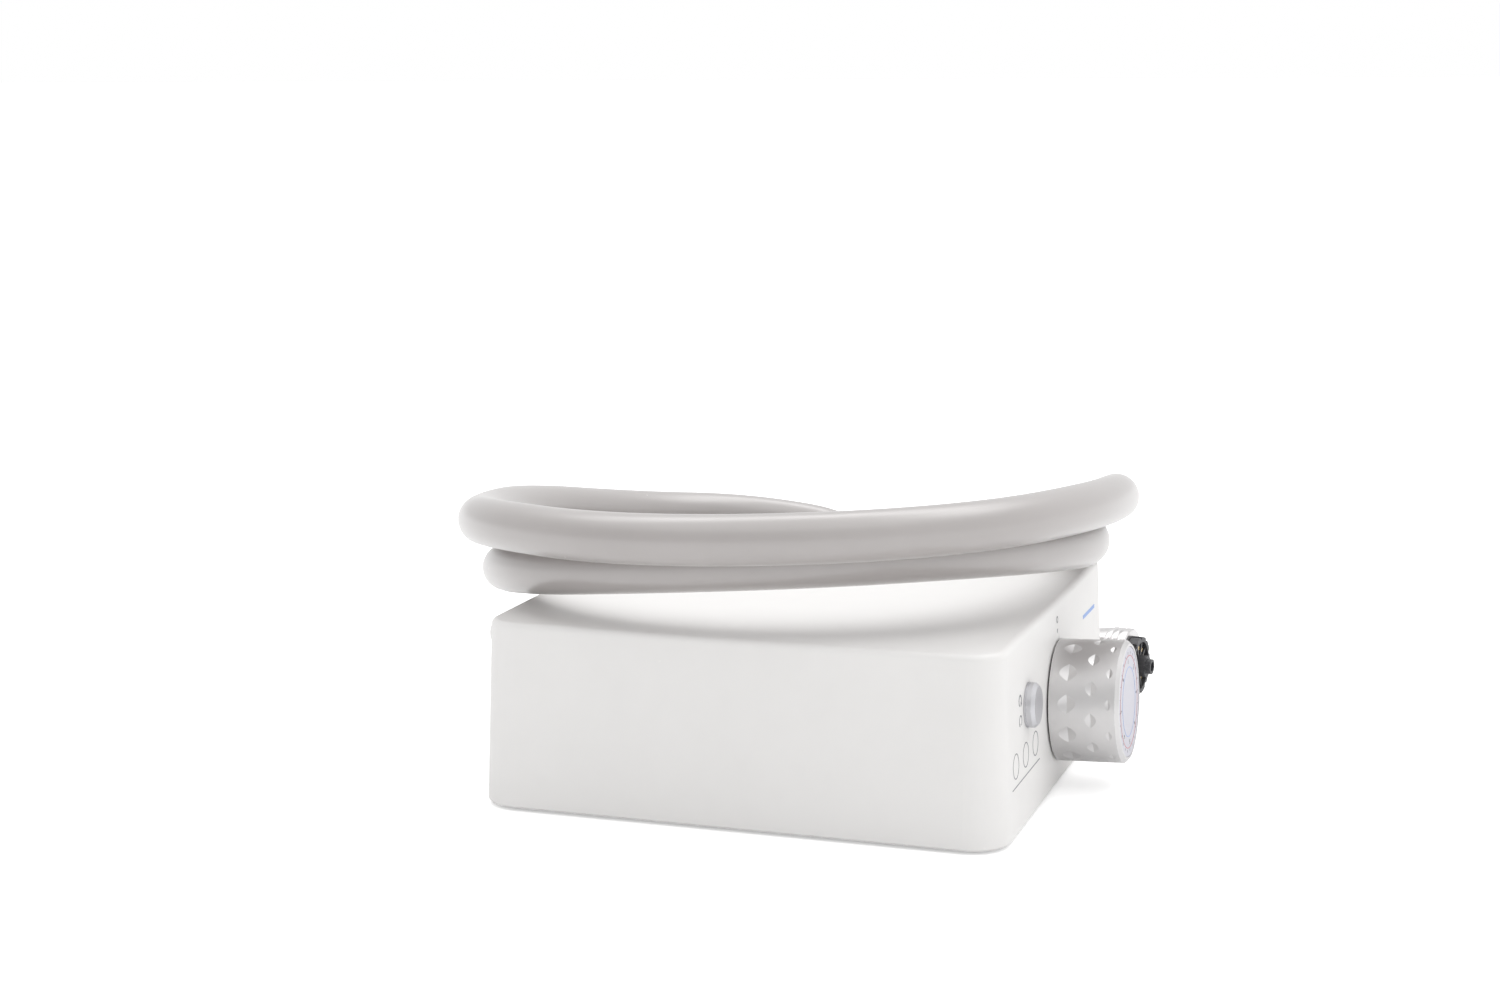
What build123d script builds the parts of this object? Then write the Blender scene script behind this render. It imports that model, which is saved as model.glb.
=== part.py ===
"""Tabletop control unit for a small electric handpiece motor, with its hose coiled on the lid.

Frame: millimetres, +Z up, origin under the middle of the unit on the surface it stands on.
The control panel with the knob faces -Y, the rear bay with the sockets faces +Y.
"""
from build123d import *
import math
import os

os.makedirs("parts", exist_ok=True)

# ---------------------------------------------------------------- driving dimensions
# housing
WIDTH = 127.0            # X, at the lower rim
DEPTH = 130.0            # Y, at the lower rim
HEIGHT = 46.0            # top face above the surface it stands on
CORNER_R = 9.5           # upright corners
DRAFT = 2.29             # degrees, every wall leans in
WALL = 2.4
ROOF = 2.6
TOP_FILLET = 1.6
RIM_CHAMFER = 0.5
FOOT_GAP = 0.8           # lower rim above the surface

# base plate and feet
BASE_THICK = 2.4
BASE_GAP = 0.25          # round the base plate, inside the walls
BASE_LOW = 1.0           # underside of the base plate
FOOT_R = 6.0
FOOT_SINK = 0.8
FOOT_X = 40.0
FOOT_Y = 52.0
POST_X = 53.0            # screw posts that hang from the lid
POST_Y = (-53.0, 43.5)   # the rear ones stand clear of the bay
POST_R = 3.6
SCREW_R = 1.5            # M3
SCREW_HEAD_R = 2.9
SCREW_LENGTH = 12.0

# speed knob on the control panel
KNOB_X = 0.9
KNOB_Z = 21.2
KNOB_R = 15.07
KNOB_LENGTH = 17.05
KNOB_GAP = 0.45          # between the panel and the knob's skirt
KNOB_CHAMFER = 0.9
KNOB_HOLLOW_R = 9.0      # clears the nut behind the knob
KNOB_HOLLOW = 5.0
DIMPLES_ROUND = 12
DIMPLE_CUTTER_R = 6.25   # a disc with a V edge, plunged square to the skin
DIMPLE_CUTTER_IN = 1.0   # how far in from its edge the V goes
DIMPLE_SLOPE = 3.5       # half width of the V over its depth
DIMPLE_ROWS = (          # share of the knob's length, depth, turn in shares of the spacing
    (0.26, 0.62, -0.33),
    (0.60, 0.40, 0.17),
    (0.85, 0.22, -0.33),
)
DIAL_R = 13.6
DIAL_THICK = 0.8
DIAL_RECESS = 0.9
SEAL_R = 13.9
SEAL_THICK = 0.3
GRUB_R = 1.5

# speed potentiometer
SHAFT_R = 3.0
SHAFT_RUN = 0.05         # running clearance in the bushing
SHAFT_OUT = 12.5         # beyond the panel
BUSH_R = 4.5
BUSH_OUT = 4.2
POT_R = 8.5
POT_DEEP = 10.0
NUT_FLATS = 12.0
NUT_THICK = 2.2
WASHER_R = 6.6
WASHER_THICK = 0.6
PANEL_CLEAR = 0.1

# direction button
BUTTON_X = -33.5
BUTTON_Z = 28.3
BUTTON_R = 5.3
BUTTON_OUT = 2.5
BUTTON_CHAMFER = 0.8
BUTTON_GROOVE = (0.35, 0.7, 0.2)  # start, end and depth of the groove round its base
BUTTON_RUN = 0.1
BUTTON_TRAVEL = 1.2
BUTTON_SKIRT_R = 6.3
STEM_R = 1.6

# rear bay and what stands in it
BAY_X = (-50.0, 54.0)
BAY_Z = (6.0, 31.0)
BAY_FLOOR_Y = 56.0
PANEL_THICK = 2.0
BAY_WALL = 1.8
GLAND_X = 43.5
GLAND_Z = 18.0
GLAND_R = 8.6
GLAND_THICK = 3.0
INLET_X = 19.0
INLET_REACH = 25.6
SUPPLY_X = -33.0
SUPPLY_R = 2.75          # bore for the supply plug
SUPPLY_PIN_R = 1.05
ROCKER_X = -7.0
ROCKER_BEZEL = (22.0, 16.0)
ROCKER_BODY = (19.0, 13.0)
ROCKER_MOUTH = (15.4, 10.4)
ROCKER_KEY = (15.0, 9.2)
ROCKER_BACK = 3.4        # the key's reach behind its pivot
ROCKER_MID = 2.8         # and in front of it, at the middle
ROCKER_FRONT = 3.4       # and at the two ends that are pressed
ROCKER_PIVOT_DEEP = 2.0  # behind the bay's floor
ROCKER_PIN_R = 1.0
ROCKER_PIN_RUN = 0.06
ROCKER_PIN_OUT = 1.2
BAY_SCREWS_X = (-46.5, 29.5)
BAY_SCREWS_Z = 9.0
PANEL_SCREW_R = 1.25

# boards
BOARD = (92.0, 62.0, 1.6)
BOARD_X = -4.0
BOARD_Y = 2.0
BOARD_Z = 8.0
STANDOFF_R = 3.0
BOARD_HOLE_INSET = 4.0

# hose and its connector
HOSE_R = 6.0
RELIEF_R = 8.0
RELIEF_LENGTH = 18.0
HOSE_ROUTE = [
    (43.5, 59, 18), (43.5, 94.3, 18), (68.2, 118.4, 10.5), (106.5, 118.6, 6.3), (132, 93, 6.3),
    (131.5, 56, 6.3), (107, 27, 7), (86, 1, 21), (82, -27.5, 40.5), (67.5, -49.5, 53.9),
    (37, -66, 54.3), (2.5, -62.5, 59), (-29.2, -47, 62.5), (-50.5, -15, 62.5), (-55, 24.5, 59.8),
    (-41, 61, 54.3), (-7, 84, 47.8), (33, 84.5, 38.5), (69, 68, 34), (91, 34, 35.5),
    (98, -8.5, 44), (89.5, -52, 53.7), (50, -71, 65.4), (1, -71.5, 70), (-38.5, -54.5, 71),
    (-63.5, -18.5, 70.5), (-69, 27.5, 69), (-47.5, 67.8, 67), (-9, 88, 60.8), (35.5, 96.2, 56.2),
    (82.5, 80.2, 47), (110.3, 53, 43), (113.2, 17.6, 38), (93.5, -11.1, 10.3), (89.1, -45.1, 10.3),
]

# ---------------------------------------------------------------- planes and helpers
LEAN = math.tan(math.radians(DRAFT))


def wall_in(z):
    """How far a wall's outside has leaned in at height z."""
    return LEAN * (z - FOOT_GAP)


def panel_plane(x, z):
    """A plane on the control panel's outside, its Z pointing out of the panel and its Y up it."""
    lean = math.radians(DRAFT)
    return Plane(
        origin=(x, -DEPTH / 2 + wall_in(z), z),
        x_dir=(1, 0, 0),
        z_dir=(0, -math.cos(lean), math.sin(lean)),
    )


def bay_plane(x, z, y=BAY_FLOOR_Y):
    """A plane on the rear bay's floor, its Z pointing out of the unit."""
    return Plane(origin=(x, y, z), x_dir=(-1, 0, 0), z_dir=(0, 1, 0))


def save(part, name):
    """Label a finished piece and write it."""
    part.label = name
    export_step(part, f"parts/{name}.step")


knob_plane = panel_plane(KNOB_X, KNOB_Z)
button_plane = panel_plane(BUTTON_X, BUTTON_Z)
rim_z = FOOT_GAP
shell_height = HEIGHT - FOOT_GAP
post_spots = [(sx * POST_X, y) for sx in (-1, 1) for y in POST_Y]
foot_spots = [(sx * FOOT_X, sy * FOOT_Y) for sx in (-1, 1) for sy in (-1, 1)]
board_spots = [
    (BOARD_X + sx * (BOARD[0] / 2 - BOARD_HOLE_INSET), BOARD_Y + sy * (BOARD[1] / 2 - BOARD_HOLE_INSET))
    for sx in (-1, 1)
    for sy in (-1, 1)
]
base_top = BASE_LOW + BASE_THICK
bay_width = BAY_X[1] - BAY_X[0]
bay_high = BAY_Z[1] - BAY_Z[0]
bay_mid = ((BAY_X[0] + BAY_X[1]) / 2, (BAY_Z[0] + BAY_Z[1]) / 2)
panel_back_y = BAY_FLOOR_Y - PANEL_THICK
post_low = base_top + 0.2

# ---------------------------------------------------------------- housing
with BuildPart() as housing:
    with BuildSketch(Plane.XY.offset(rim_z)):
        RectangleRounded(WIDTH, DEPTH, CORNER_R)
    extrude(amount=shell_height, taper=DRAFT)
    fillet(housing.faces().sort_by(Axis.Z)[-1].edges(), TOP_FILLET)
    chamfer(housing.faces().sort_by(Axis.Z)[0].outer_wire().edges(), RIM_CHAMFER)
    with BuildSketch(Plane.XY.offset(rim_z)):
        RectangleRounded(WIDTH - 2 * WALL, DEPTH - 2 * WALL, CORNER_R - WALL)
    extrude(amount=shell_height - ROOF, taper=DRAFT, mode=Mode.SUBTRACT)
    # collar of the rear bay, from the rear wall in to the bay's floor
    with BuildSketch(bay_plane(*bay_mid)):
        Rectangle(bay_width + 2 * BAY_WALL, bay_high + 2 * BAY_WALL)
    extrude(amount=DEPTH / 2 - wall_in(BAY_Z[1]) - BAY_FLOOR_Y - WALL / 2)
    with BuildSketch(bay_plane(*bay_mid)):
        Rectangle(bay_width, bay_high)
    extrude(amount=DEPTH / 2, mode=Mode.SUBTRACT)
    # screw posts that hang from the roof
    with BuildSketch(Plane.XY.offset(post_low)):
        with Locations(*post_spots):
            Circle(POST_R)
    extrude(amount=HEIGHT - ROOF - post_low + 0.5)
    with BuildSketch(Plane.XY.offset(post_low)):
        with Locations(*post_spots):
            Circle(SCREW_R)
    extrude(amount=SCREW_LENGTH, mode=Mode.SUBTRACT)
    # panel holes for the bushing and the button
    with BuildSketch(knob_plane.offset(-2 * WALL)):
        Circle(BUSH_R + PANEL_CLEAR)
    extrude(amount=4 * WALL, mode=Mode.SUBTRACT)
    with BuildSketch(button_plane.offset(-2 * WALL)):
        Circle(BUTTON_R + BUTTON_RUN)
    extrude(amount=4 * WALL, mode=Mode.SUBTRACT)
save(housing.part, "housing")

# ---------------------------------------------------------------- base plate, screws and feet
with BuildPart() as base_plate:
    with BuildSketch(Plane.XY.offset(BASE_LOW)):
        RectangleRounded(
            WIDTH - 2 * (WALL + BASE_GAP + wall_in(base_top)),
            DEPTH - 2 * (WALL + BASE_GAP + wall_in(base_top)),
            CORNER_R - WALL - BASE_GAP,
        )
    extrude(amount=BASE_THICK)
    with BuildSketch(Plane.XY.offset(base_top)):
        with Locations(*board_spots):
            Circle(STANDOFF_R)
    extrude(amount=BOARD_Z - base_top)
    with BuildSketch(Plane.XY.offset(base_top)):
        with Locations(*board_spots):
            Circle(1.25)
    extrude(amount=BOARD_Z - base_top, mode=Mode.SUBTRACT)
    with BuildSketch(Plane.XY.offset(BASE_LOW)):
        with Locations(*foot_spots):
            Circle(FOOT_R)
    extrude(amount=FOOT_SINK, mode=Mode.SUBTRACT)
    with Locations(*[Location((x, y, BASE_LOW), (180, 0, 0)) for x, y in post_spots]):
        CounterSinkHole(SCREW_R, SCREW_HEAD_R, depth=BASE_THICK, counter_sink_angle=90)
save(base_plate.part, "base_plate")

with BuildPart() as base_screws:
    head_deep = SCREW_HEAD_R - SCREW_R
    with BuildSketch(Plane.XZ) as screw_side:
        with BuildLine():
            Polyline(
                (0, BASE_LOW), (SCREW_HEAD_R, BASE_LOW), (SCREW_R, BASE_LOW + head_deep),
                (SCREW_R, BASE_LOW + SCREW_LENGTH), (0, BASE_LOW + SCREW_LENGTH), close=True,
            )
        make_face()
    screw_blank = revolve(axis=Axis.Z, mode=Mode.PRIVATE)
    with Locations(*post_spots):
        add(screw_blank)
    with BuildSketch(Plane.XY.offset(BASE_LOW)):
        with Locations(*post_spots):
            RegularPolygon(1.1, 6)
    extrude(amount=1.0, mode=Mode.SUBTRACT)
save(base_screws.part, "base_screws")

with BuildPart() as rubber_feet:
    with BuildSketch(Plane.XY):
        with Locations(*foot_spots):
            Circle(FOOT_R)
    extrude(amount=BASE_LOW + FOOT_SINK)
    chamfer(rubber_feet.edges().group_by(Axis.Z)[0], 0.3)
save(rubber_feet.part, "rubber_feet")

# ---------------------------------------------------------------- speed knob group
knob_low = KNOB_GAP
knob_top = KNOB_GAP + KNOB_LENGTH
with BuildPart() as speed_knob:
    with BuildSketch(knob_plane.offset(knob_low)):
        Circle(KNOB_R)
    extrude(amount=KNOB_LENGTH)
    chamfer(speed_knob.edges().sort_by(Axis((0, 0, 0), knob_plane.z_dir))[-1], KNOB_CHAMFER)
    with BuildSketch(knob_plane.offset(knob_low)):
        Circle(KNOB_HOLLOW_R)
    extrude(amount=KNOB_HOLLOW, mode=Mode.SUBTRACT)
    with BuildSketch(knob_plane.offset(knob_low)):
        Circle(SHAFT_R)
    extrude(amount=SHAFT_OUT - knob_low, mode=Mode.SUBTRACT)
    with BuildSketch(knob_plane.offset(knob_top)):
        Circle(DIAL_R)
    extrude(amount=-DIAL_RECESS, mode=Mode.SUBTRACT)
    # rows of dimples, smaller towards the front
    for share, deep, turn in DIMPLE_ROWS:
        for k in range(DIMPLES_ROUND):
            angle = (k + turn) * 2 * math.pi / DIMPLES_ROUND
            reach = KNOB_R + DIMPLE_CUTTER_R - deep
            spot = Location((reach * math.cos(angle), reach * math.sin(angle), knob_low + share * KNOB_LENGTH))
            for flip in (0, 180):
                with Locations(knob_plane.location * spot * Location((0, 0, 0), (flip, 0, 0))):
                    Cone(
                        DIMPLE_CUTTER_R, DIMPLE_CUTTER_R - DIMPLE_CUTTER_IN, DIMPLE_SLOPE * DIMPLE_CUTTER_IN,
                        align=(Align.CENTER, Align.CENTER, Align.MIN), mode=Mode.SUBTRACT,
                    )
    # threaded hole for the grub screw, on the underside
    grub_height = knob_low + 0.5 * (KNOB_HOLLOW + SHAFT_OUT)
    grub_plane = Plane(
        origin=(knob_plane * Location((0, 0, grub_height))).position,
        x_dir=knob_plane.z_dir, z_dir=-knob_plane.y_dir,
    )
    with BuildSketch(grub_plane):
        Circle(GRUB_R)
    extrude(amount=KNOB_R, mode=Mode.SUBTRACT)
save(speed_knob.part, "speed_knob")

with BuildPart() as dial_plate:
    with BuildSketch(knob_plane.offset(knob_top - DIAL_RECESS)):
        Circle(DIAL_R - 0.1)
    extrude(amount=DIAL_THICK)
save(dial_plate.part, "dial_plate")

with BuildPart() as knob_grub_screw:
    with BuildSketch(grub_plane.offset(SHAFT_R)):
        Circle(GRUB_R)
    extrude(amount=7.0)
    with BuildSketch(grub_plane.offset(SHAFT_R + 7.0)):
        RegularPolygon(0.8, 6)
    extrude(amount=-2.0, mode=Mode.SUBTRACT)
save(knob_grub_screw.part, "knob_grub_screw")

with BuildPart() as knob_seal_ring:
    with BuildSketch(knob_plane):
        Circle(SEAL_R)
        Circle(WASHER_R + 0.4, mode=Mode.SUBTRACT)
    extrude(amount=SEAL_THICK)
save(knob_seal_ring.part, "knob_seal_ring")

with BuildPart() as potentiometer_shaft:
    with BuildSketch(knob_plane.offset(-WALL - POT_DEEP / 2)):
        Circle(SHAFT_R)
    extrude(amount=SHAFT_OUT + WALL + POT_DEEP / 2)
save(potentiometer_shaft.part, "potentiometer_shaft")

with BuildPart() as potentiometer:
    with BuildSketch(knob_plane.offset(-WALL)):
        Circle(POT_R)
    extrude(amount=-POT_DEEP)
    with BuildSketch(knob_plane.offset(-WALL)):
        Circle(BUSH_R)
    extrude(amount=WALL + BUSH_OUT)
    with BuildSketch(knob_plane.offset(-WALL - POT_DEEP / 2)):
        Circle(SHAFT_R + SHAFT_RUN)
    extrude(amount=WALL + BUSH_OUT + POT_DEEP / 2, mode=Mode.SUBTRACT)
    with BuildSketch(knob_plane.offset(-WALL - 3.0)):
        with Locations((-5, -POT_R - 1.5), (0, -POT_R - 1.5), (5, -POT_R - 1.5)):
            Rectangle(1.6, 7.0)
    extrude(amount=-1.0)
save(potentiometer.part, "potentiometer")

with BuildPart() as potentiometer_washer:
    with BuildSketch(knob_plane):
        Circle(WASHER_R)
        Circle(BUSH_R, mode=Mode.SUBTRACT)
    extrude(amount=WASHER_THICK)
save(potentiometer_washer.part, "potentiometer_washer")

with BuildPart() as potentiometer_nut:
    with BuildSketch(knob_plane.offset(WASHER_THICK)):
        RegularPolygon(NUT_FLATS / 2, 6, major_radius=False)
        Circle(BUSH_R, mode=Mode.SUBTRACT)
    extrude(amount=NUT_THICK)
save(potentiometer_nut.part, "potentiometer_nut")

# ---------------------------------------------------------------- direction button group
skirt_top = -WALL - 0.1
with BuildPart() as direction_button:
    with BuildSketch(button_plane.offset(skirt_top - 1.2)):
        Circle(BUTTON_SKIRT_R)
    extrude(amount=1.2)
    with BuildSketch(button_plane.offset(skirt_top)):
        Circle(BUTTON_R)
    extrude(amount=BUTTON_OUT - skirt_top)
    chamfer(direction_button.edges().sort_by(Axis((0, 0, 0), button_plane.z_dir))[-1], BUTTON_CHAMFER)
    with BuildSketch(button_plane.offset(BUTTON_GROOVE[0])):
        Circle(BUTTON_R + 1.0)
        Circle(BUTTON_R - BUTTON_GROOVE[2], mode=Mode.SUBTRACT)
    extrude(amount=BUTTON_GROOVE[1] - BUTTON_GROOVE[0], mode=Mode.SUBTRACT)
    with BuildSketch(button_plane.offset(skirt_top - 1.2)):
        Circle(STEM_R)
    extrude(amount=-1.6)
save(direction_button.part, "direction_button")

stem_end = skirt_top - 2.8
with BuildPart() as direction_switch:
    with BuildSketch(button_plane.offset(stem_end - BUTTON_TRAVEL - 0.3)):
        Rectangle(9.0, 9.0)
    extrude(amount=-3.0)
save(direction_switch.part, "direction_switch")

switch_face = stem_end - BUTTON_TRAVEL - 0.3
coil_r = 3.4
coil_wire = 0.35
with BuildPart() as button_spring:
    with BuildLine() as coil_line:
        Helix(
            pitch=1.0, height=skirt_top - 1.2 - switch_face - 2 * coil_wire, radius=coil_r,
            center=button_plane.offset(switch_face + coil_wire).origin, direction=button_plane.z_dir,
        )
    with BuildSketch(Plane(origin=coil_line.line @ 0, z_dir=coil_line.line % 0)):
        Circle(coil_wire)
    sweep()
save(button_spring.part, "button_spring")

control_board_back = switch_face - 3.0
with BuildPart() as control_board:
    with BuildSketch(button_plane.offset(control_board_back)):
        with Locations((20.0, -6.0)):
            Rectangle(64.0, 25.0)
    extrude(amount=-1.6)
    with BuildSketch(knob_plane.offset(-WALL)):
        Circle(POT_R + 0.4)
    extrude(amount=-POT_DEEP - 8, mode=Mode.SUBTRACT)
    with BuildSketch(knob_plane.offset(-WALL)):
        with Locations((0, -POT_R)):
            Rectangle(14.0, 14.0)
    extrude(amount=-POT_DEEP - 8, mode=Mode.SUBTRACT)
save(control_board.part, "control_board")

# ---------------------------------------------------------------- main board and what stands on it
board_top = BOARD_Z + BOARD[2]
with BuildPart() as main_board:
    with BuildSketch(Plane.XY.offset(BOARD_Z)):
        with Locations((BOARD_X, BOARD_Y)):
            Rectangle(BOARD[0], BOARD[1])
        with Locations(*board_spots):
            Circle(1.4, mode=Mode.SUBTRACT)
    extrude(amount=BOARD[2])
save(main_board.part, "main_board")

with BuildPart() as board_screws:
    with BuildSketch(Plane.XY.offset(board_top)):
        with Locations(*board_spots):
            Circle(2.4)
    extrude(amount=1.8)
    with BuildSketch(Plane.XY.offset(board_top)):
        with Locations(*board_spots):
            Circle(1.25)
    extrude(amount=-(board_top - base_top))
save(board_screws.part, "board_screws")


def on_board(name, spots, height, shape, round_over=0.0):
    """Identical upright pieces standing on the main board, written as one node."""
    with BuildPart() as group:
        with BuildSketch(Plane.XY.offset(board_top)):
            with Locations(*spots):
                shape()
        extrude(amount=height)
        if round_over:
            fillet(group.edges().group_by(Axis.Z)[-1], round_over)
    save(group.part, name)


on_board("capacitors", [(-38, 18), (-38, 5), (-26, 18)], 16.0, lambda: Circle(5.0), 0.8)
on_board("control_chips", [(-8, -14), (-26, -14)], 1.6, lambda: Rectangle(10.0, 10.0), 0.2)
on_board("board_headers", [(-38, -20), (28, -20)], 8.0, lambda: Rectangle(8.0, 5.0), 0.4)
on_board("motor_relay", [(28, -4)], 14.0, lambda: Rectangle(15.0, 12.0), 0.6)

SINK_X = 2.0
SINK_Y = 22.0
with BuildPart() as heat_sink:
    with BuildSketch(Plane.XY.offset(board_top)):
        with Locations((SINK_X, SINK_Y)):
            Rectangle(34.0, 3.0)
        with Locations(*[(SINK_X - 15.5 + 5.2 * k, SINK_Y + 4.0) for k in range(7)]):
            Rectangle(1.4, 6.0)
    extrude(amount=20.0)
save(heat_sink.part, "heat_sink")

with BuildPart() as power_transistors:
    with BuildSketch(Plane.XY.offset(board_top)):
        with Locations(*[(SINK_X + x, SINK_Y - 3.75) for x in (-11.0, 0.0, 11.0)]):
            Rectangle(8.0, 4.5)
    extrude(amount=15.0)
save(power_transistors.part, "power_transistors")

with BuildPart() as choke_coil:
    with BuildSketch(Plane.XY.offset(board_top)):
        with Locations((2.0, 4.0)):
            Circle(8.0)
            Circle(3.4, mode=Mode.SUBTRACT)
    extrude(amount=7.0)
    fillet(choke_coil.edges().filter_by(GeomType.CIRCLE), 2.0)
save(choke_coil.part, "choke_coil")

# ---------------------------------------------------------------- rear bay
with BuildPart() as rear_panel:
    with BuildSketch(bay_plane(*bay_mid)):
        Rectangle(bay_width + 2 * BAY_WALL, bay_high + 2 * BAY_WALL)
    extrude(amount=-PANEL_THICK)
    for x, radius in ((GLAND_X, HOSE_R + 1.0), (INLET_X, 3.5), (SUPPLY_X, 5.5)):
        with BuildSketch(bay_plane(x, GLAND_Z)):
            Circle(radius)
        extrude(amount=-PANEL_THICK, mode=Mode.SUBTRACT)
    with BuildSketch(bay_plane(ROCKER_X, GLAND_Z)):
        Rectangle(*ROCKER_BODY)
    extrude(amount=-PANEL_THICK, mode=Mode.SUBTRACT)
    with Locations(*[bay_plane(x, BAY_SCREWS_Z).location for x in BAY_SCREWS_X]):
        Hole(PANEL_SCREW_R)
save(rear_panel.part, "rear_panel")

with BuildPart() as panel_screws:
    for x in BAY_SCREWS_X:
        with BuildSketch(bay_plane(x, BAY_SCREWS_Z)):
            Circle(2.3)
        extrude(amount=1.6)
        with BuildSketch(bay_plane(x, BAY_SCREWS_Z, BAY_FLOOR_Y + 1.6)):
            SlotOverall(3.0, 0.6)
        extrude(amount=-0.7, mode=Mode.SUBTRACT)
        with BuildSketch(bay_plane(x, BAY_SCREWS_Z)):
            Circle(PANEL_SCREW_R)
        extrude(amount=-PANEL_THICK)
save(panel_screws.part, "panel_screws")

supply_plane = bay_plane(SUPPLY_X, GLAND_Z)
with BuildPart() as supply_socket:
    with BuildSketch(supply_plane.offset(-9.0)):
        Circle(5.5)
    extrude(amount=13.0)
    with BuildSketch(supply_plane.offset(-6.0)):
        Circle(SUPPLY_R)
    extrude(amount=10.0, mode=Mode.SUBTRACT)
save(supply_socket.part, "supply_socket")

with BuildPart() as supply_socket_pin:
    with BuildSketch(supply_plane.offset(-6.0)):
        Circle(SUPPLY_PIN_R)
    extrude(amount=8.0)
save(supply_socket_pin.part, "supply_socket_pin")

with BuildPart() as supply_socket_nut:
    with BuildSketch(supply_plane):
        RegularPolygon(7.0, 6, major_radius=False)
        Circle(5.5, mode=Mode.SUBTRACT)
    extrude(amount=2.0)
save(supply_socket_nut.part, "supply_socket_nut")

inlet_plane = bay_plane(INLET_X, GLAND_Z)
with BuildPart() as air_inlet:
    with BuildSketch(Plane(origin=inlet_plane.origin, x_dir=(1, 0, 0), z_dir=(0, 0, 1))):
        with BuildLine():
            Polyline(
                (1.2, -8), (3.5, -8), (3.5, 2.6), (2.4, 2.6), (2.4, 11.0), (3.0, 11.0), (2.4, 14.5),
                (3.0, 14.5), (2.4, 18.0), (3.0, 18.0), (2.2, INLET_REACH), (1.2, INLET_REACH), close=True,
            )
        make_face()
    revolve(axis=Axis(inlet_plane.origin, (0, 1, 0)))
save(air_inlet.part, "air_inlet")

with BuildPart() as air_inlet_nut:
    with BuildSketch(inlet_plane):
        RegularPolygon(5.5, 6, major_radius=False)
        Circle(3.5, mode=Mode.SUBTRACT)
    extrude(amount=2.6)
save(air_inlet_nut.part, "air_inlet_nut")

with BuildPart() as air_valve:
    with BuildSketch(inlet_plane.offset(-8.0)):
        Rectangle(14.0, 14.0)
    extrude(amount=-13.0)
    fillet(air_valve.edges().filter_by(Axis.Y), 1.0)
save(air_valve.part, "air_valve")

rocker_plane = bay_plane(ROCKER_X, GLAND_Z)
with BuildPart() as rocker_frame:
    with BuildSketch(rocker_plane):
        RectangleRounded(*ROCKER_BEZEL, 1.5)
        Rectangle(*ROCKER_MOUTH, mode=Mode.SUBTRACT)
    extrude(amount=1.6)
    with BuildSketch(rocker_plane):
        Rectangle(*ROCKER_BODY)
        Rectangle(*ROCKER_MOUTH, mode=Mode.SUBTRACT)
    extrude(amount=-9.0)
    with BuildSketch(rocker_plane.offset(-9.0)):
        Rectangle(*ROCKER_BODY)
    extrude(amount=-3.0)
    with BuildSketch(Plane.YZ.offset(ROCKER_X - ROCKER_BODY[0] / 2)):
        with Locations((BAY_FLOOR_Y - ROCKER_PIVOT_DEEP, GLAND_Z)):
            Circle(ROCKER_PIN_R + ROCKER_PIN_RUN)
    extrude(amount=ROCKER_BODY[0], mode=Mode.SUBTRACT)
save(rocker_frame.part, "rocker_frame")

with BuildPart() as power_rocker:
    with BuildSketch(Plane.YZ.offset(ROCKER_X - ROCKER_KEY[0] / 2)):
        with Locations((BAY_FLOOR_Y - ROCKER_PIVOT_DEEP, GLAND_Z)):
            Polygon(
                (-ROCKER_BACK, 0), (-1.5, ROCKER_KEY[1] / 2), (ROCKER_FRONT, ROCKER_KEY[1] / 2), (ROCKER_MID, 0),
                (ROCKER_FRONT, -ROCKER_KEY[1] / 2), (-1.5, -ROCKER_KEY[1] / 2), align=None,
            )
    extrude(amount=ROCKER_KEY[0])
    with BuildSketch(Plane.YZ.offset(ROCKER_X - ROCKER_KEY[0] / 2 - ROCKER_PIN_OUT)):
        with Locations((BAY_FLOOR_Y - ROCKER_PIVOT_DEEP, GLAND_Z)):
            Circle(ROCKER_PIN_R)
    extrude(amount=ROCKER_KEY[0] + 2 * ROCKER_PIN_OUT)
save(power_rocker.part, "power_rocker")

# ---------------------------------------------------------------- hose, gland and strain relief
gland_plane = bay_plane(GLAND_X, GLAND_Z)
with BuildPart() as hose_gland:
    with BuildSketch(gland_plane.offset(-8.0)):
        Circle(HOSE_R + 1.0)
    extrude(amount=11.0)
    with BuildSketch(gland_plane.offset(-8.0)):
        Circle(3.0)
    extrude(amount=11.0, mode=Mode.SUBTRACT)
save(hose_gland.part, "hose_gland")

with BuildPart() as gland_nut:
    with BuildSketch(gland_plane):
        RegularPolygon(GLAND_R, 12, major_radius=False)
        Circle(HOSE_R + 1.0, mode=Mode.SUBTRACT)
    extrude(amount=GLAND_THICK)
save(gland_nut.part, "gland_nut")


def hose_path(points):
    """Straight runs joined by the largest tangent arcs that the runs allow."""
    spots = [Vector(*p) for p in points]
    runs = [(b - a).length for a, b in zip(spots, spots[1:])]
    radii = []
    for k in range(1, len(spots) - 1):
        turn = math.radians((spots[k] - spots[k - 1]).get_angle(spots[k + 1] - spots[k]))
        radii.append(0.45 * min(runs[k - 1], runs[k]) / math.tan(turn / 2))
    return spots, radii


hose_spots, hose_radii = hose_path(HOSE_ROUTE)
with BuildPart() as hose:
    with BuildLine() as hose_line:
        FilletPolyline(*hose_spots, radius=hose_radii)
    with BuildSketch(Plane(origin=hose_spots[0], z_dir=hose_spots[1] - hose_spots[0])):
        Circle(HOSE_R)
    sweep()
save(hose.part, "hose")
hose_length = hose_line.wire().length
hose_section = math.pi * HOSE_R**2
print("hose radii", [round(r) for r in hose_radii])
print(f"hose length {hose_length:.0f}, volume over section times length {hose.part.volume / hose_section / hose_length:.4f}")

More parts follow.
